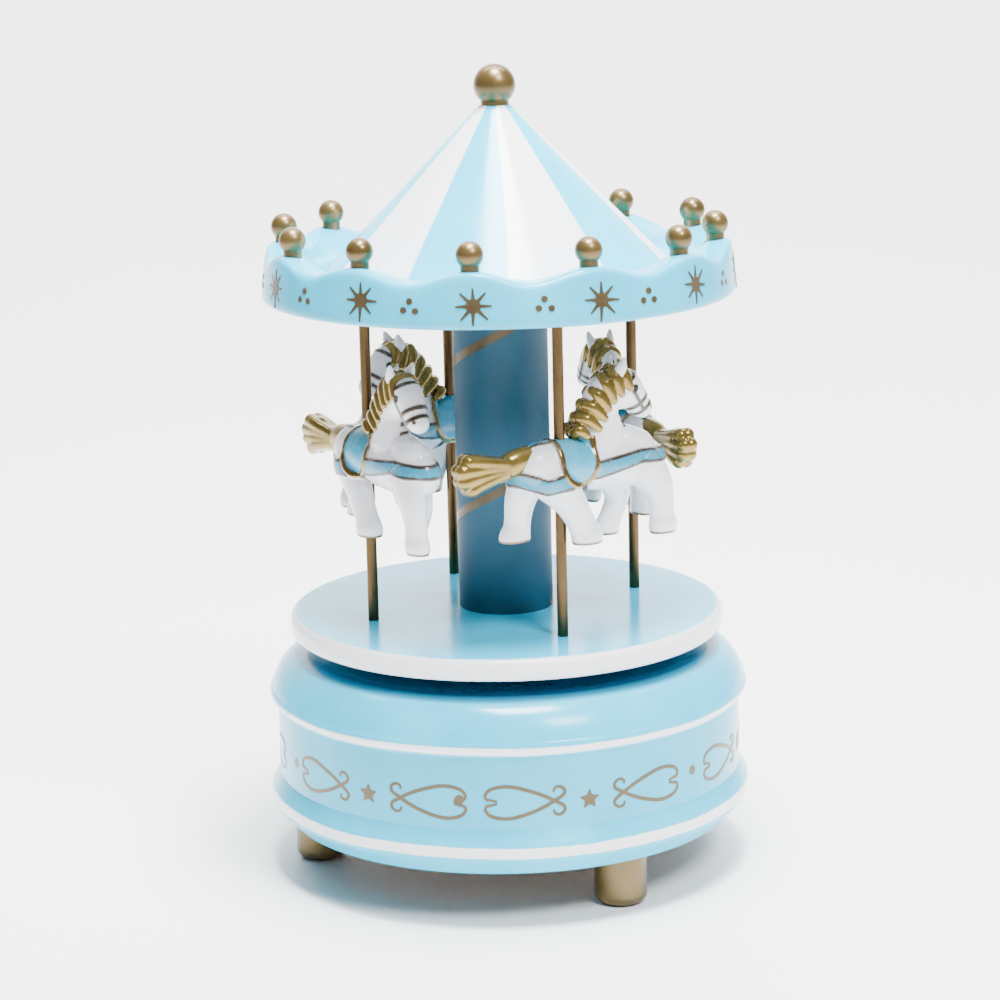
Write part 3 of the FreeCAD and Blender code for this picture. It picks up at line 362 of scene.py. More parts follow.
def cad_materials():
    """One finish for each material slot of the record."""
    even = (1.0, 1.0, 1.0)
    return {
        "blue_lacquer": rim_material(),
        "deep_blue_lacquer": column_material(),
        "striped_lacquer": roof_material(),
        "gold_paint": gold_material("gold_paint", GOLD_PAINT),
        "antique_brass": metal_material("antique_brass", ANTIQUE_BRASS, 0.3, (1.0, 1.0, 0.05)),
        "brass": metal_material("machined_brass", srgb(205, 170, 96), 0.2),
        "plated_steel": metal_material("plated_steel", srgb(178, 180, 182), 0.28),
        "spring_steel": metal_material("spring_steel", srgb(132, 135, 140), 0.2),
        "cast_zinc": metal_material("cast_zinc", srgb(150, 152, 156), 0.45, even),
        "white_plastic": plastic_material("moulded_plastic", srgb(228, 226, 216), 0.42),
        "fibreboard": wood_material("fibreboard", srgb(120, 90, 62), srgb(84, 60, 40), even),
        "bare_wood": wood_material("bare_beech", srgb(206, 172, 128), srgb(176, 138, 94)),
    }


def dress_cad_nodes(finishes):
    """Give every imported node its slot's finish; the drum and the deck have their own."""
    own = {"base_drum": drum_material(), "platform": deck_material()}
    slots = {row["node"]: row["material_slot"] for row in frame["record"]["subparts"]}
    for name, item in frame["nodes"].items():
        finish = own.get(name) or finishes.get(slots[name])
        if finish is None:
            continue
        item.data.materials.clear()
        item.data.materials.append(finish)


# ---------------------------------------------------------------- mesh helpers
def mesh_object(name, corners, faces, material, smooth=True):
    """A new object from corners in millimetres."""
    mesh = bpy.data.meshes.new(name)
    mesh.from_pydata([tuple(value * MM for value in corner) for corner in corners], [], faces)
    mesh.validate()
    made = bmesh.new()
    made.from_mesh(mesh)
    bmesh.ops.recalc_face_normals(made, faces=made.faces)
    made.to_mesh(mesh)
    made.free()
    mesh.polygons.foreach_set("use_smooth", [smooth] * len(mesh.polygons))
    mesh.materials.append(material)
    item = bpy.data.objects.new(name, mesh)
    bpy.context.scene.collection.objects.link(item)
    return item


def on_circle(radius, degrees, height):
    """A point on a circle about the axis, in millimetres."""
    turn = math.radians(degrees)
    return (radius * math.sin(turn), -radius * math.cos(turn), height)


def curve_through(points, steps):
    """Points along a smooth curve (Catmull-Rom) through the given ones, any number of values each."""
    rows = [np.array(point, float) for point in points]
    rows = [2 * rows[0] - rows[1]] + rows + [2 * rows[-1] - rows[-2]]
    made = []
    for first, start, end, last in zip(rows, rows[1:], rows[2:], rows[3:]):
        squared = 2 * first - 5 * start + 4 * end - last
        cubed = 3 * start - first - 3 * end + last
        for step in range(steps):
            t = step / steps
            made.append(0.5 * (2 * start + (end - first) * t + squared * t ** 2 + cubed * t ** 3))
    made.append(rows[-2])
    return made


# ---------------------------------------------------------------- painted motifs
class Decals:
    """Thin raised paint on a wall of revolution. wall(height) is the wall's radius there."""
    LIFT = 0.07
    SINK = 0.15

    def __init__(self, wall):
        self.wall = wall
        self.corners = []
        self.faces = []

    def spot(self, centre, u, v, lift):
        """A point at u along the wall and v up it from a motif's centre (degrees, height)."""
        height = centre[1] + v
        radius = self.wall(height)
        return on_circle(radius + lift, centre[0] + math.degrees(u / radius), height)

    def strip(self, centre, left, right):
        """A closed ribbon between two rows of (u, v) points."""
        start = len(self.corners)
        for pair in zip(left, right):
            for lift in (self.LIFT, -self.SINK):
                for u, v in pair:
                    self.corners.append(self.spot(centre, u, v, lift))
        last = len(left) - 1
        for index in range(last):
            a = start + index * 4
            b = a + 4
            self.faces += [(a, a + 1, b + 1, b), (a + 2, b + 2, b + 3, a + 3),
                           (a, b, b + 2, a + 2), (a + 1, a + 3, b + 3, b + 1)]
        end = start + last * 4
        self.faces += [(start, start + 2, start + 3, start + 1), (end, end + 1, end + 3, end + 2)]

    def stroke(self, centre, path, widths):
        """A brush stroke along a path, its width given at each point."""
        left = []
        right = []
        for index, point in enumerate(path):
            before = path[max(index - 1, 0)]
            after = path[min(index + 1, len(path) - 1)]
            way = np.array(after) - np.array(before)
            way = way / np.linalg.norm(way)
            side = np.array((-way[1], way[0])) * widths[index] / 2
            left.append(tuple(np.array(point) + side))
            right.append(tuple(np.array(point) - side))
        self.strip(centre, left, right)

    def dot(self, centre, u, v, radius, chance):
        """A round spot of paint, not quite even."""
        left = []
        right = []
        rows = 8
        for index in range(rows + 1):
            angle = math.pi * index / rows
            half = radius * math.sin(angle) * (1 + 0.08 * chance.uniform(-1, 1)) + 0.02
            height = -radius * math.cos(angle)
            left.append((u - half, v + height))
            right.append((u + half, v + height))
        self.strip(centre, left, right)

    def star(self, centre, radius, points=5):
        """A filled star made of kite-shaped points."""
        for index in range(points):
            angle = math.pi / 2 + 2 * math.pi * index / points
            tip = np.array((math.cos(angle), math.sin(angle))) * radius
            side = np.array((-math.sin(angle), math.cos(angle)))
            waist = tip * 0.42
            rows = ((-tip * 0.2, 0.25), (waist, radius * 0.29), (tip, 0.03))
            left = [tuple(spot + side * half) for spot, half in rows]
            right = [tuple(spot - side * half) for spot, half in rows]
            self.strip(centre, left, right)

    def build(self, name, material):
        """The object that holds every motif so far."""
        return mesh_object(name, self.corners, self.faces, material, smooth=False)


def rim_wall(height):
    """Outer radius of the canopy's band at a height."""
    low, foot = RIM_FOOT
    high, head = RIM_HEAD
    return foot - (height - low) * (foot - head) / (high - low)


# the stamps were set by eye, so their angles are uneven: the bursts, and the dots that follow each
BURSTS = (-67.1, -33.5, -5.9, 23.9, 52.9, 83.1, 112.6, 143.2, 173.0, 202.6, 233.1, 262.7)
RIM_DOTS = (-52.1, -20.9, 10.3, 36.6, 67.9, 97.7, 128.2, 158.1, 187.6, 218.1, 247.7, 277.9)


def rim_motifs(material):
    """An eight-rayed burst under every ball and three dots between, as stamped."""
    chance = random.Random(3)
    decals = Decals(rim_wall)
    for burst, dots in zip(BURSTS, RIM_DOTS):
        centre = (burst, RIM_MOTIFS + chance.uniform(-0.25, 0.25))
        tilt = chance.uniform(-0.1, 0.1)
        for ray in range(8):
            angle = math.pi / 2 + ray * math.pi / 4 + tilt + chance.uniform(-0.05, 0.05)
            reach = (4.2 if ray == 4 else 3.75) + chance.uniform(-0.25, 0.25)
            way = np.array((math.cos(angle), math.sin(angle)))
            path = [way * reach * share for share in (0.0, 0.3, 0.6, 1.0)]
            decals.stroke(centre, path, (0.9, 0.85, 0.6, 0.32))
        decals.dot(centre, 0.0, 0.0, 1.5, chance)
        between = (dots, RIM_MOTIFS - 0.3 + chance.uniform(-0.2, 0.2))
        for u, v in ((0.0, 1.0), (-1.35, -0.8), (1.35, -0.9)):
            decals.dot(between, u + chance.uniform(-0.12, 0.12), v, 0.66, chance)
    return decals.build("rim_motifs", material)


# half a heart that lies with its curled point at the left, along and across, and where its middle is
HEART = (
    (2.5, -1.9), (2.2, -2.75), (1.2, -3.0), (0.2, -2.3), (0.35, -1.2), (2.3, 0.0), (4.6, 1.25), (7.5, 2.4),
    (11.0, 3.35), (13.6, 3.4), (15.8, 2.75), (16.7, 1.6), (16.4, 0.75), (15.4, 0.55), (14.2, 0.2),
)
HEART_MIDDLE = 8.35
HEART_TURN = 15.4


def heart(decals, centre, way):
    """A heart on its side with two curls at its point; way is 1 when the point is on the left."""
    for side in (1.0, -1.0):
        path = [(way * (u - HEART_MIDDLE), v * side) for u, v in curve_through(HEART, 5)]
        count = len(path) - 1
        widths = [0.48 + 0.3 * math.sin(math.pi * index / count) for index in range(count + 1)]
        decals.stroke(centre, path, widths)


STAR_ANGLES = (-35.8, 18.7, 79.0, 140.0, 200.0, 262.0)
DOT_ANGLES = (-64.6, -12.1, 49.2, 109.5, 170.0, 231.0)


def drum_motifs(material):
    """Stars and dots with a heart lying on each side of them, all round the drum."""
    chance = random.Random(7)
    decals = Decals(lambda height: DRUM_WALL)
    for angle in STAR_ANGLES:
        decals.star((angle, DRUM_MOTIFS + chance.uniform(-0.2, 0.2)), 2.25)
    for angle in DOT_ANGLES:
        decals.dot((angle, DRUM_MOTIFS + 0.9), 0.0, 0.0, 1.0, chance)
    for star in STAR_ANGLES:
        heart(decals, (star + HEART_TURN + chance.uniform(-0.5, 0.5), DRUM_MOTIFS + 0.2), 1.0)
        heart(decals, (star - HEART_TURN + chance.uniform(-0.5, 0.5), DRUM_MOTIFS + 0.3), -1.0)
    return decals.build("drum_motifs", material)


def column_ribbon(material):
    """Gold line painted round the column as a right-handed screw."""
    foot, head = RIBBON_SPAN
    decals = Decals(lambda height: COLUMN_WALL)
    left = []
    right = []
    for level in np.linspace(foot, head, 260):
        along = math.radians((level - foot) / RIBBON_PITCH * 360.0) * COLUMN_WALL
        left.append((along, max(level - RIBBON_HALF, foot)))
        right.append((along, min(level + RIBBON_HALF, head)))
    decals.strip((RIBBON_START, 0.0), left, right)
    return decals.build("column_ribbon", material)


# ---------------------------------------------------------------- canopy rim
# the rim's outline: radius, height, and its share of the wave
RIM_OUTLINE = [
    (37.2, 132.0, 0.0), (38.6, 132.3, 0.0), (44.2, 136.6, 0.6), (45.4, 137.2, 0.9), (48.4, 137.6, 1.0),
    (49.6, 137.3, 1.0), (50.2, 136.5, 1.0), (50.65, 131.8, 0.0), (51.15, 127.4, 0.0), (50.9, 126.4, 0.0),
    (50.1, 125.95, 0.0), (48.0, 125.9, 0.0), (2.6, 125.9, 0.0), (2.6, 131.9, 0.0),
]


def scalloped_rim(material):
    """The turned rim, its top softly waved between the balls."""
    outline = rounded(RIM_OUTLINE)
    turns = 360
    corners = []
    for number in range(turns):
        degrees = number * 360.0 / turns
        wave = 0.5 - 0.5 * math.cos(math.radians((degrees - CREST_ANGLE) * CRESTS))
        drop = SCALLOP_DEPTH * wave ** 1.15
        for radius, height, share in outline:
            corners.append(on_circle(radius, degrees, height - drop * share))
    count = len(outline)
    faces = []
    for number in range(turns):
        for index in range(count):
            a = number * count + index
            b = number * count + (index + 1) % count
            c = ((number + 1) % turns) * count + (index + 1) % count
            d = ((number + 1) % turns) * count + index
            faces.append((a, b, c, d))
    return mesh_object("scalloped_rim", corners, faces, material)


def rounded(rows):
    """A closed outline with its corners cut twice."""
    for _ in range(2):
        made = []
        for start, end in zip(rows, rows[1:] + rows[:1]):
            start = np.array(start)
            end = np.array(end)
            made += [tuple(start * 0.8 + end * 0.2), tuple(start * 0.2 + end * 0.8)]
        rows = made
    return rows


# ---------------------------------------------------------------- horses
# In a horse's own frame x is its heading, y its left, z the height, and its pole stands at x = y = 0.
# A chain's rows are (x, y, z, radius, width share), or without the share where a whole set has the same.
BODY_CHAINS = (
    # trunk
    ((-5.5, 0, 93.8, 5.2, 0.86), (0, 0, 93.6, 5.4, 0.86), (6, 0, 93, 5.4, 0.84), (12, 0, 92.6, 5.7, 0.84),
     (17.5, 0, 92.4, 5.6, 0.86), (21.5, 0, 92.2, 4.6, 0.88)),
    # neck
    ((10, 0, 96, 6.5, 0.6), (10.5, 0, 99.5, 5.2, 0.62), (10, 0, 103, 4.6, 0.64), (11, 0, 107, 4.4, 0.68),
     (13, 0, 109.2, 3.4, 0.8)),
    # breast
    ((16.5, 0, 96, 4.4, 0.8), (19.0, 0, 94.5, 4.8, 0.85)),
    # head and jaw
    ((14.5, 0, 110.2, 2.9, 0.95), (16.8, 0, 108.8, 3.4, 0.95), (18.6, 0, 106.3, 3.2, 0.95),
     (20, 0, 104.3, 2.6, 1.0), (21.2, 0, 103.4, 2.3, 1.0)),
    ((15.2, 0, 107, 3.3, 0.95), (15.6, 0, 106.8, 3.2, 0.95)),
)
# legs: rear left, rear right, front left, front right, each with the height that its hoof is cut at
LEG_WIDE = 0.72
LEG_CHAINS = (
    ((-6.5, 2.2, 91.5, 4.4), (-8.2, 2.8, 87, 3.6), (-8.8, 3, 83, 3.1), (-9.2, 3, 80.5, 3.2),
     (-9.7, 3, 78.9, 3.6)),
    ((-3.5, -2.2, 91, 4.6), (0, -2.8, 87, 3.8), (2.3, -3, 83, 3.3), (3.8, -3, 80, 3.3),
     (4.6, -3, 78.2, 3.7)),
    ((14, 2.4, 90.5, 4.2), (16.3, 2.9, 86, 3.2), (16.2, 3, 83, 2.8), (14.8, 3, 80, 2.7),
     (14, 3, 78.2, 3.0)),
    ((20.2, -2.4, 91, 4.6), (22.8, -3, 87, 3.7), (23.8, -3, 83, 3.1), (24.0, -3, 80, 3.0),
     (24.2, -3, 78, 3.4)),
)
HOOF_CUTS = (78.2, 76.9, 76.4, 76.4)
EAR_WIDE = 0.7
EARS = (
    ((13.9, 2.0, 111.6, 1.6), (14.4, 2.5, 113.2, 1.2), (14.9, 2.8, 114.8, 0.5)),
    ((13.9, -2.0, 111.6, 1.6), (14.4, -2.5, 113.2, 1.2), (14.9, -2.8, 114.8, 0.5)),
)
# mane: (x, z) of each lock's root on the crest and of its end on the neck
CREST = (
    (3.0, 100.9), (4.2, 103.8), (5.8, 106.4), (7.8, 109.0), (10.2, 111.6), (12.8, 113.0), (15.2, 112.6),
)
MANE_EDGE = (
    (5.0, 99.8), (8.0, 101.0), (9.5, 103.0), (10.5, 105.0), (12.0, 106.6), (14.0, 107.8), (16.2, 108.8),
)
TAIL_CHAIN = ((-8, 0, 96, 2.9, 0.8), (-11, 0, 95.6, 2.9, 0.75), (-14.5, 0, 94.6, 2.75, 0.7),
              (-18, 0, 94.6, 3.3, 0.65), (-20.5, 0, 94.8, 3.9, 0.6))
TAIL_CURLS = ((-23.0, 97.4), (-24.4, 95.5), (-24.0, 93.4), (-22.3, 91.6))
# (x, z) on the head, and the way from its top to its muzzle
EYE = (17.4, 108.4)
NOSTRIL = (22.3, 103.9)
HEAD_TOP = (15.5, 111.5)
HEAD_WAY = (0.563, -0.826)
# how fine the skins are
BODY_VOXEL = 0.28
GILT_VOXEL = 0.24


def strung(chain, steps=5):
    """Balls strung along a smooth chain."""
    return [tuple(row) for row in curve_through(chain, steps)]


def limb(joints, share):
    """Balls strung along a chain whose rows all have the same width share."""
    return strung([joint + (share,) for joint in joints])


def ball_mesh(made, centre, radii):
    """Add one squashed ball, in millimetres, to a bmesh."""
    matrix = Matrix.Translation(Vector(centre)) @ Matrix.Diagonal((*radii, 1.0))
    bmesh.ops.create_icosphere(made, subdivisions=3, radius=1.0, matrix=matrix)


def fused(name, balls, voxel, smoothing):
    """One closed skin round many balls of (x, y, z, radius, width share)."""
    made = bmesh.new()
    for x, y, z, radius, share in balls:
        ball_mesh(made, (x, y, z), (radius, radius * share, radius))
    mesh = bpy.data.meshes.new(name)
    made.to_mesh(mesh)
    made.free()
    item = bpy.data.objects.new(name, mesh)
    bpy.context.scene.collection.objects.link(item)
    remesh = item.modifiers.new("skin", "REMESH")
    remesh.mode = "VOXEL"
    remesh.voxel_size = voxel
    smooth = item.modifiers.new("soften", "SMOOTH")
    smooth.factor = 0.5
    smooth.iterations = smoothing
    skin = applied(item)
    bpy.data.objects.remove(item)
    return skin


def applied(item):
    """The mesh of an object with its modifiers worked in."""
    bpy.context.view_layer.update()
    seen = item.evaluated_get(bpy.context.evaluated_depsgraph_get())
    return bpy.data.meshes.new_from_object(seen)


def read_rows(mesh, kind):
    """The points ("co") or normals ("normal") of a mesh as rows of three."""
    rows = np.empty(len(mesh.vertices) * 3, np.float32)
    mesh.vertices.foreach_get(kind, rows)
    return rows.reshape(-1, 3).astype(float)


def step_up(value, low, high):
    """0 below low, 1 above high, smooth between."""
    t = np.clip((value - low) / (high - low), 0.0, 1.0)
    return t * t * (3 - 2 * t)


# Each field says how far inside the edge of one piece of the trappings every point lies, in millimetres.
OUTSIDE = -9.0


def saddle_field(p):
    """The saddle cloth: level over the back, round below."""
    below = np.minimum(p[:, 2] - 94.2, 0.0)
    round_edge = 5.0 - np.hypot(p[:, 0] - 2.1, below * 0.98)
    on_neck = (p[:, 2] > 99.5) & (p[:, 0] > 4.0)
    return np.where((p[:, 2] > 86.0) & ~on_neck, round_edge, OUTSIDE)


def strap_field(p):
    """The breeching behind the saddle and the breast strap before it."""
    x, _, z = p.T
    level = np.interp(x, (-10.0, -6.0, -3.0), (91.8, 90.4, 90.9))
    breeching = np.where(x < 0.0, 1.8 - np.abs(z - level), OUTSIDE)
    level = np.interp(x, (7.3, 18.0, 26.0), (92.4, 94.0, 93.5))
    half = np.interp(x, (7.3, 18.0), (1.95, 1.5))
    breast = np.where(x > 5.0, half - np.abs(z - level), OUTSIDE)
    return np.maximum(breeching, breast)


def crupper_field(p):
    """The strap along the rump's ridge."""
    x, y, z = p.T
    return np.where((z > 96.5) & (x < -1.0) & (x > -9.5), 1.3 - np.abs(y), OUTSIDE)


def girth_field(p):
    """The girth, which slants forwards on its way down."""
    x, _, z = p.T
    return np.where(z < 90.8, 0.8 - np.abs(x - 3.4 - (90.5 - z) * 0.6), OUTSIDE)


def bridle_field(p):
    """The bridle's three bands round the head and its cheek straps."""
    way = np.array(HEAD_WAY)
    flat = p[:, (0, 2)] - np.array(HEAD_TOP)
    along = flat @ way
    across = flat @ np.array((-way[1], way[0]))
    on_head = (along > -1.0) & (p[:, 0] > 13.0 + 0.25 * along) & (p[:, 2] > 100.0)
    brow, nose, muzzle = 1.6, 7.3, 9.3
    bands = [0.5 - np.abs(along - where) for where in (brow, nose, muzzle)]
    cheek = np.where((along > brow) & (along < muzzle), 0.45 - np.abs(across + 0.9), OUTSIDE)
    return np.where(on_head, np.maximum.reduce(bands + [cheek]), OUTSIDE)


def near_hoof(p, joints, reach):
    """Which points stand within reach of a leg's last joint, seen from above."""
    return np.hypot(p[:, 0] - joints[-1][0], p[:, 1] - joints[-1][1]) < reach


class Paint:
    """Colour, metal share and relief, in millimetres, of each point of the horse's skin."""

    def __init__(self, points, ground):
        self.points = points
        self.colour = np.tile(np.array(ground), (len(points), 1))
        self.metal = np.zeros(len(points))
        self.relief = np.zeros(len(points))

    def lay(self, mask, shade, shine):
        """A coat of paint where the mask is 1."""
        self.colour = self.colour * (1 - mask[:, None]) + shade * mask[:, None]
        self.metal = self.metal * (1 - mask) + shine * mask

    def swell(self, height):
        """Raise the skin to this height where it isn't higher already."""
        self.relief = np.maximum(self.relief, height)

    def trappings(self):
        """Straps, girth, saddle cloth and bridle, each over the last."""
        p = self.points
        on_body = (p[:, 2] > 84.5) & (p[:, 2] < 101.5)
        strap = np.where(on_body, np.maximum(strap_field(p), crupper_field(p)), OUTSIDE)
        self.swell(0.35 * step_up(strap, -0.15, 0.25))
        self.lay(step_up(strap, -0.15, 0.1), LEATHER, 0.3)
        self.lay(step_up(strap, 0.55, 0.8), SADDLE_BLUE, 0.0)
        girth = np.where(on_body, girth_field(p), OUTSIDE)
        self.swell(0.3 * step_up(girth, -0.1, 0.25))
        self.lay(step_up(girth, -0.1, 0.15), LEATHER * 1.3, 0.4)
        saddle = saddle_field(p)
        self.swell(0.65 * step_up(saddle, -0.2, 0.3) - 0.25 * step_up(saddle, 1.0, 1.4))
        self.lay(step_up(saddle, -0.15, 0.12), SADDLE_GOLD, 0.8)
        self.lay(step_up(saddle, 1.15, 1.4), SADDLE_BLUE * 1.25, 0.0)
        bridle = bridle_field(p)
        self.swell(0.16 * step_up(bridle, -0.1, 0.2))
        self.lay(step_up(bridle, -0.12, 0.12), LEATHER, 0.3)

    def features(self):
        """Eyes, nostrils and the worn gold edge of each hoof."""
        p = self.points
        side = np.abs(p[:, 1]) > 1.2
        eye = np.linalg.norm(p[:, (0, 2)] - np.array(EYE), axis=1)
        self.lay(step_up(-eye, -1.0, -0.75) * side, EYE_BLACK, 0.0)
        nostril = np.linalg.norm(p[:, (0, 2)] - np.array(NOSTRIL), axis=1)
        self.lay(step_up(-nostril, -0.55, -0.35) * side, LEATHER, 0.0)
        for joints, floor in zip(LEG_CHAINS, HOOF_CUTS):
            edge = step_up(-p[:, 2], -floor - 0.7, -floor - 0.4)
            self.lay(edge * near_hoof(p, joints, 4.4), SADDLE_GOLD * 0.6, 0.4)


def flatten_hooves(p):
    """Cut every hoof off level."""
    for joints, floor in zip(LEG_CHAINS, HOOF_CUTS):
        low = near_hoof(p, joints, 4.6) & (p[:, 2] < floor)
        p[low, 2] = floor - 0.1 * (floor - p[low, 2])


def horse_skin():
    """The horse's body mesh, in metres, with its paint stored on its points."""
    balls = []
    for chain in BODY_CHAINS:
        balls += strung(chain)
    for chain in LEG_CHAINS:
        balls += limb(chain, LEG_WIDE)
    for chain in EARS:
        balls += limb(chain, EAR_WIDE)
    mesh = fused("horse_skin", balls, BODY_VOXEL, smoothing=5)
    points = read_rows(mesh, "co")
    flatten_hooves(points)
    paint = Paint(points, WHITE[:3])
    paint.trappings()
    paint.features()
    colour = mesh.attributes.new("paint", "FLOAT_COLOR", "POINT")
    rows = np.concatenate([paint.colour, np.ones((len(points), 1))], axis=1)
    colour.data.foreach_set("color", rows.astype(np.float32).ravel())
    shine = mesh.attributes.new("shine", "FLOAT", "POINT")
    shine.data.foreach_set("value", paint.metal.astype(np.float32))
    return placed(mesh, points + read_rows(mesh, "normal") * paint.relief[:, None])


def placed(mesh, points):
    """The mesh with its points moved here, from millimetres to metres, and shaded smooth."""
    mesh.vertices.foreach_set("co", (points * MM).astype(np.float32).ravel())
    mesh.polygons.foreach_set("use_smooth", [True] * len(mesh.polygons))
    mesh.update()
    return mesh


def mane_mesh():
    """Seven thick locks that fan from the crest down each side of the neck."""
    balls = []
    for top, low in zip(CREST, MANE_EDGE):
        for side in (-1.0, 1.0):
            middle = ((top[0] + low[0]) / 2 - 0.3, (top[1] + low[1]) / 2 + 0.5)
            chain = (
                (top[0] + 0.4, side * 0.8, top[1] - 0.6, 1.35, 0.9),
                (middle[0], side * 2.3, middle[1], 1.3, 0.8),
                (low[0], side * 2.9, low[1], 0.95, 0.75),
                (low[0] + 0.4, side * 2.8, low[1] - 0.3, 0.6, 0.8),
            )
            balls += strung(chain, 7)
    for x, z in curve_through(CREST, 6):
        balls.append((x + 0.9, 0.0, z - 1.3, 1.5, 0.9))
    mesh = fused("horse_mane", balls, GILT_VOXEL, smoothing=2)
    return placed(mesh, read_rows(mesh, "co"))


def tail_mesh():
    """Tail held out behind, its end rolled into four curls."""
    balls = strung(TAIL_CHAIN)
    for x, z in TAIL_CURLS:
        rise = z - 94.5
        for side in (-1.0, 1.0):
            chain = (
                (-14.0, side * 0.9, 94.8 + rise * 0.35, 1.3, 0.9),
                ((x - 16.5) / 2, side * 1.3, 94.8 + rise * 0.72, 1.45, 0.9),
                (x, side * 0.8, z, 1.65, 1.0),
            )
            balls += strung(chain, 8)
    mesh = fused("horse_tail", balls, GILT_VOXEL, smoothing=8)
    return placed(mesh, read_rows(mesh, "co"))


def horse_paint():
    """White gloss paint with the trappings' colours read from the points."""
    n = Nodes("horse_paint")
    point = n.place()
    paint = n.add("ShaderNodeAttribute", attribute_name="paint")
    shine = n.add("ShaderNodeAttribute", attribute_name="shine")
    cloud = n.noise(point, 320.0, 3.0)
    shaded = n.ramp(cloud, 0.45, 0.8, 0.0, 0.16)
    n.set(Base_Color=n.mix(shaded, paint.outputs["Color"], HORSE_SHADE))
    n.set(Metallic=shine.outputs["Fac"], Roughness=n.ramp(cloud, 0.3, 0.7, 0.2, 0.32))
    n.set(Coat_Weight=0.3, Coat_Roughness=0.1)
    n.bump(n.math("ADD", n.noise(point, 900.0, 3.0), cloud), 0.05 * MM)
    return n.material


def horses(gilt):
    """The same moulded horse on each pole."""
    paint = horse_paint()
    skin = horse_skin()
    skin.materials.append(paint)
    mane = mane_mesh()
    tail = tail_mesh()
    for mesh in (mane, tail):
        mesh.materials.append(gilt)
    for number, (name, (yaw, drop)) in enumerate(HORSES.items()):
        angle = POLE_ANGLE + number * 90.0
        spot = Vector(on_circle(POLE_CIRCLE, angle, -drop)) * MM
        place = Matrix.Translation(spot) @ Matrix.Rotation(math.radians(angle + yaw), 4, "Z")
        for label, mesh in (("body", skin), ("mane", mane), ("tail", tail)):
            piece = bpy.data.objects.new(f"horse_{name}_{label}", mesh)
            bpy.context.scene.collection.objects.link(piece)
            piece.matrix_world = place
            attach(piece, "carousel")
            if label == "body":
                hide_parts("horse_" + name)


# ---------------------------------------------------------------- studio
# camera: its spot in metres, and how it turns, looks down and rolls, in degrees
CAMERA_SPOT = (0.0, -0.64936, 0.22444)
CAMERA_ANGLES = (-0.076, 12.533, -1.348)
SENSOR_WIDE = 36.0
LENS = 109.27
# lights: name, spot, aim, size, all in metres, and watts
LIGHTS = (
    ("key", (0.42, -0.62, 0.9), (0, 0, 0.07), (0.3, 0.3), 15.0),
    ("top", (0.04, -0.1, 0.8), (0, 0, 0.1), (0.25, 0.25), 26.0),
    ("backdrop", (0.0, 0.55, 1.3), (0, 1.5, 0.35), (1.6, 0.5), 70.0),
)
SURROUND_STRENGTH = 0.16
# cove: half its width, where its wall stands, the bend's radius and the wall's top
COVE_HALF = 3000.0
COVE_WALL = 1500.0
COVE_BEND = 500.0
COVE_TOP = 2500.0
COVE_STEPS = 12


def camera():
    """The photograph's angle: from a little above the finial, looking slightly down."""
    yaw, pitch, roll = (math.radians(value) for value in CAMERA_ANGLES)
    forward = Vector((math.sin(yaw) * math.cos(pitch), math.cos(yaw) * math.cos(pitch), -math.sin(pitch)))
    right = Vector((math.cos(yaw), -math.sin(yaw), 0.0))
    up = right.cross(forward)
    across = right * math.cos(roll) + up * math.sin(roll)
    above = up * math.cos(roll) - right * math.sin(roll)
    data = bpy.data.cameras.new("camera")
    data.sensor_width = SENSOR_WIDE
    data.lens = LENS
    item = bpy.data.objects.new("camera", data)
    bpy.context.scene.collection.objects.link(item)
    turn = Matrix((across, above, -forward)).transposed().to_4x4()
    item.matrix_world = Matrix.Translation(CAMERA_SPOT) @ turn
    bpy.context.scene.camera = item


def area_light(name, spot, aim, size, power):
    """A rectangular light at a spot, turned towards its aim."""
    data = bpy.data.lights.new(name, "AREA")
    data.shape = "RECTANGLE"
    data.size, data.size_y = size
    data.energy = power
    item = bpy.data.objects.new(name, data)
    bpy.context.scene.collection.objects.link(item)
    item.location = spot
    item.rotation_euler = (Vector(aim) - Vector(spot)).to_track_quat("-Z", "Y").to_euler()


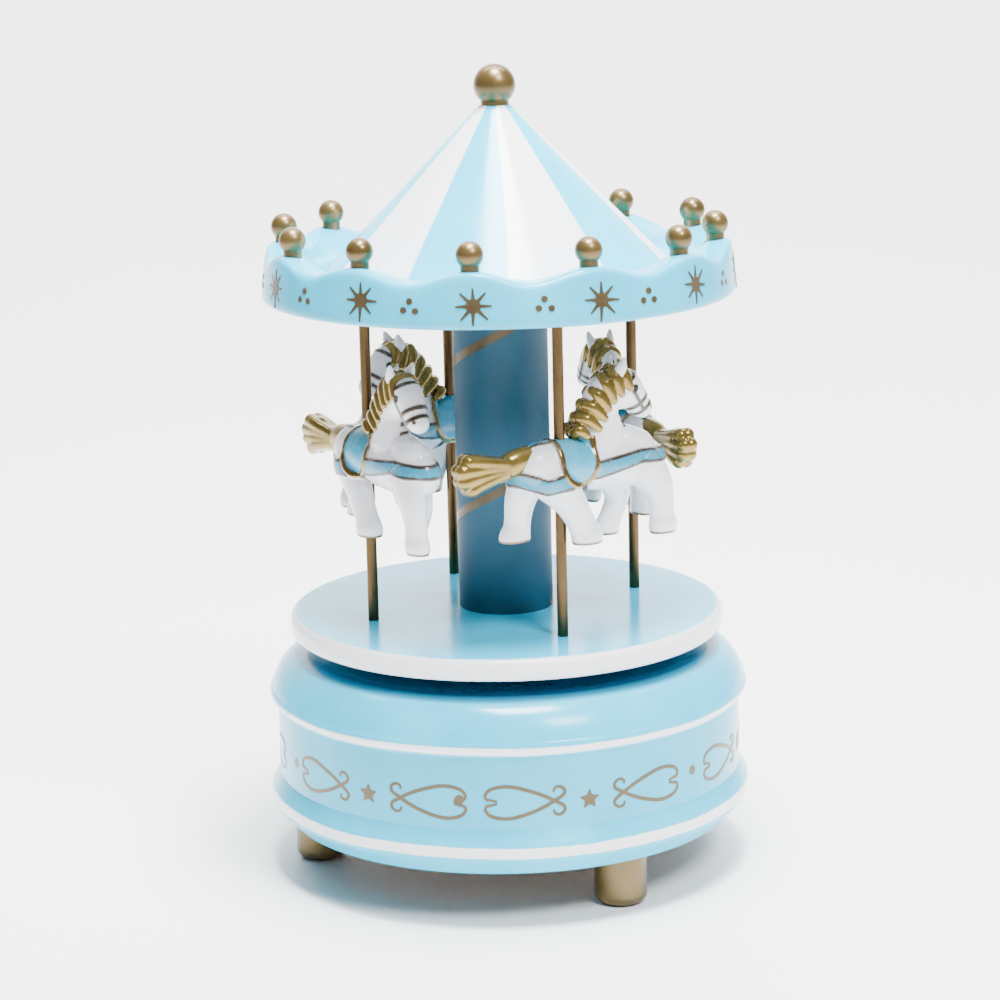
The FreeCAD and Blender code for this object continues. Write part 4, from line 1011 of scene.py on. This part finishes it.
def cove(material):
    """Pale floor that sweeps up into a wall behind."""
    profile = [(-COVE_HALF, 0.0)]
    for step in range(COVE_STEPS + 1):
        angle = math.radians(step * 90.0 / COVE_STEPS)
        along = COVE_WALL - COVE_BEND + COVE_BEND * math.sin(angle)
        profile.append((along, COVE_BEND - COVE_BEND * math.cos(angle)))
    profile.append((COVE_WALL, COVE_TOP))
    corners = [(x, y, z) for y, z in profile for x in (-COVE_HALF, COVE_HALF)]
    faces = [(row * 2, row * 2 + 1, row * 2 + 3, row * 2 + 2) for row in range(len(profile) - 1)]
    return mesh_object("floor", corners, faces, material)


def studio():
    """Pale cove, faint surround, a soft key from the front, a strong one above and a wash on the wall."""
    cove(floor_material())
    world = bpy.data.worlds.new("surround")
    bpy.context.scene.world = world
    world.use_nodes = True
    background = world.node_tree.nodes["Background"]
    background.inputs[0].default_value = SURROUND
    background.inputs[1].default_value = SURROUND_STRENGTH
    for light in LIGHTS:
        area_light(*light)


def floor_material():
    """Matt pale floor, very faintly cloudy."""
    n = Nodes("pale_floor")
    cloud = n.ramp(n.noise(n.place(), 6.0, 2.0), 0.3, 0.7)
    n.set(Base_Color=n.mix(cloud, *FLOOR_TINTS), Roughness=0.6)
    return n.material


def piece_on(item, body, slot_name, *nodes):
    """Fix a new piece to its body and hide the imported nodes that it replaces."""
    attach(item, body)
    if nodes:
        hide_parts(*nodes)


def dress():
    """All that is seen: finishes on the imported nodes, the new pieces and the studio."""
    camera()
    finishes = cad_materials()
    dress_cad_nodes(finishes)
    motif_paint = gold_material("motif_gold", MOTIF_GOLD, 0.36)
    ribbon_paint = gold_material("ribbon_gold", RIBBON_GOLD, 0.45)
    gilt = gold_material("gilt", GILT, 0.16, 0.08)
    piece_on(scalloped_rim(finishes["blue_lacquer"]), "carousel", "blue_lacquer", "canopy_rim")
    piece_on(rim_motifs(motif_paint), "carousel", "gold_paint")
    piece_on(drum_motifs(motif_paint), "base", "gold_paint")
    piece_on(column_ribbon(ribbon_paint), "carousel", "gold_paint")
    horses(gilt)
    studio()


dress()
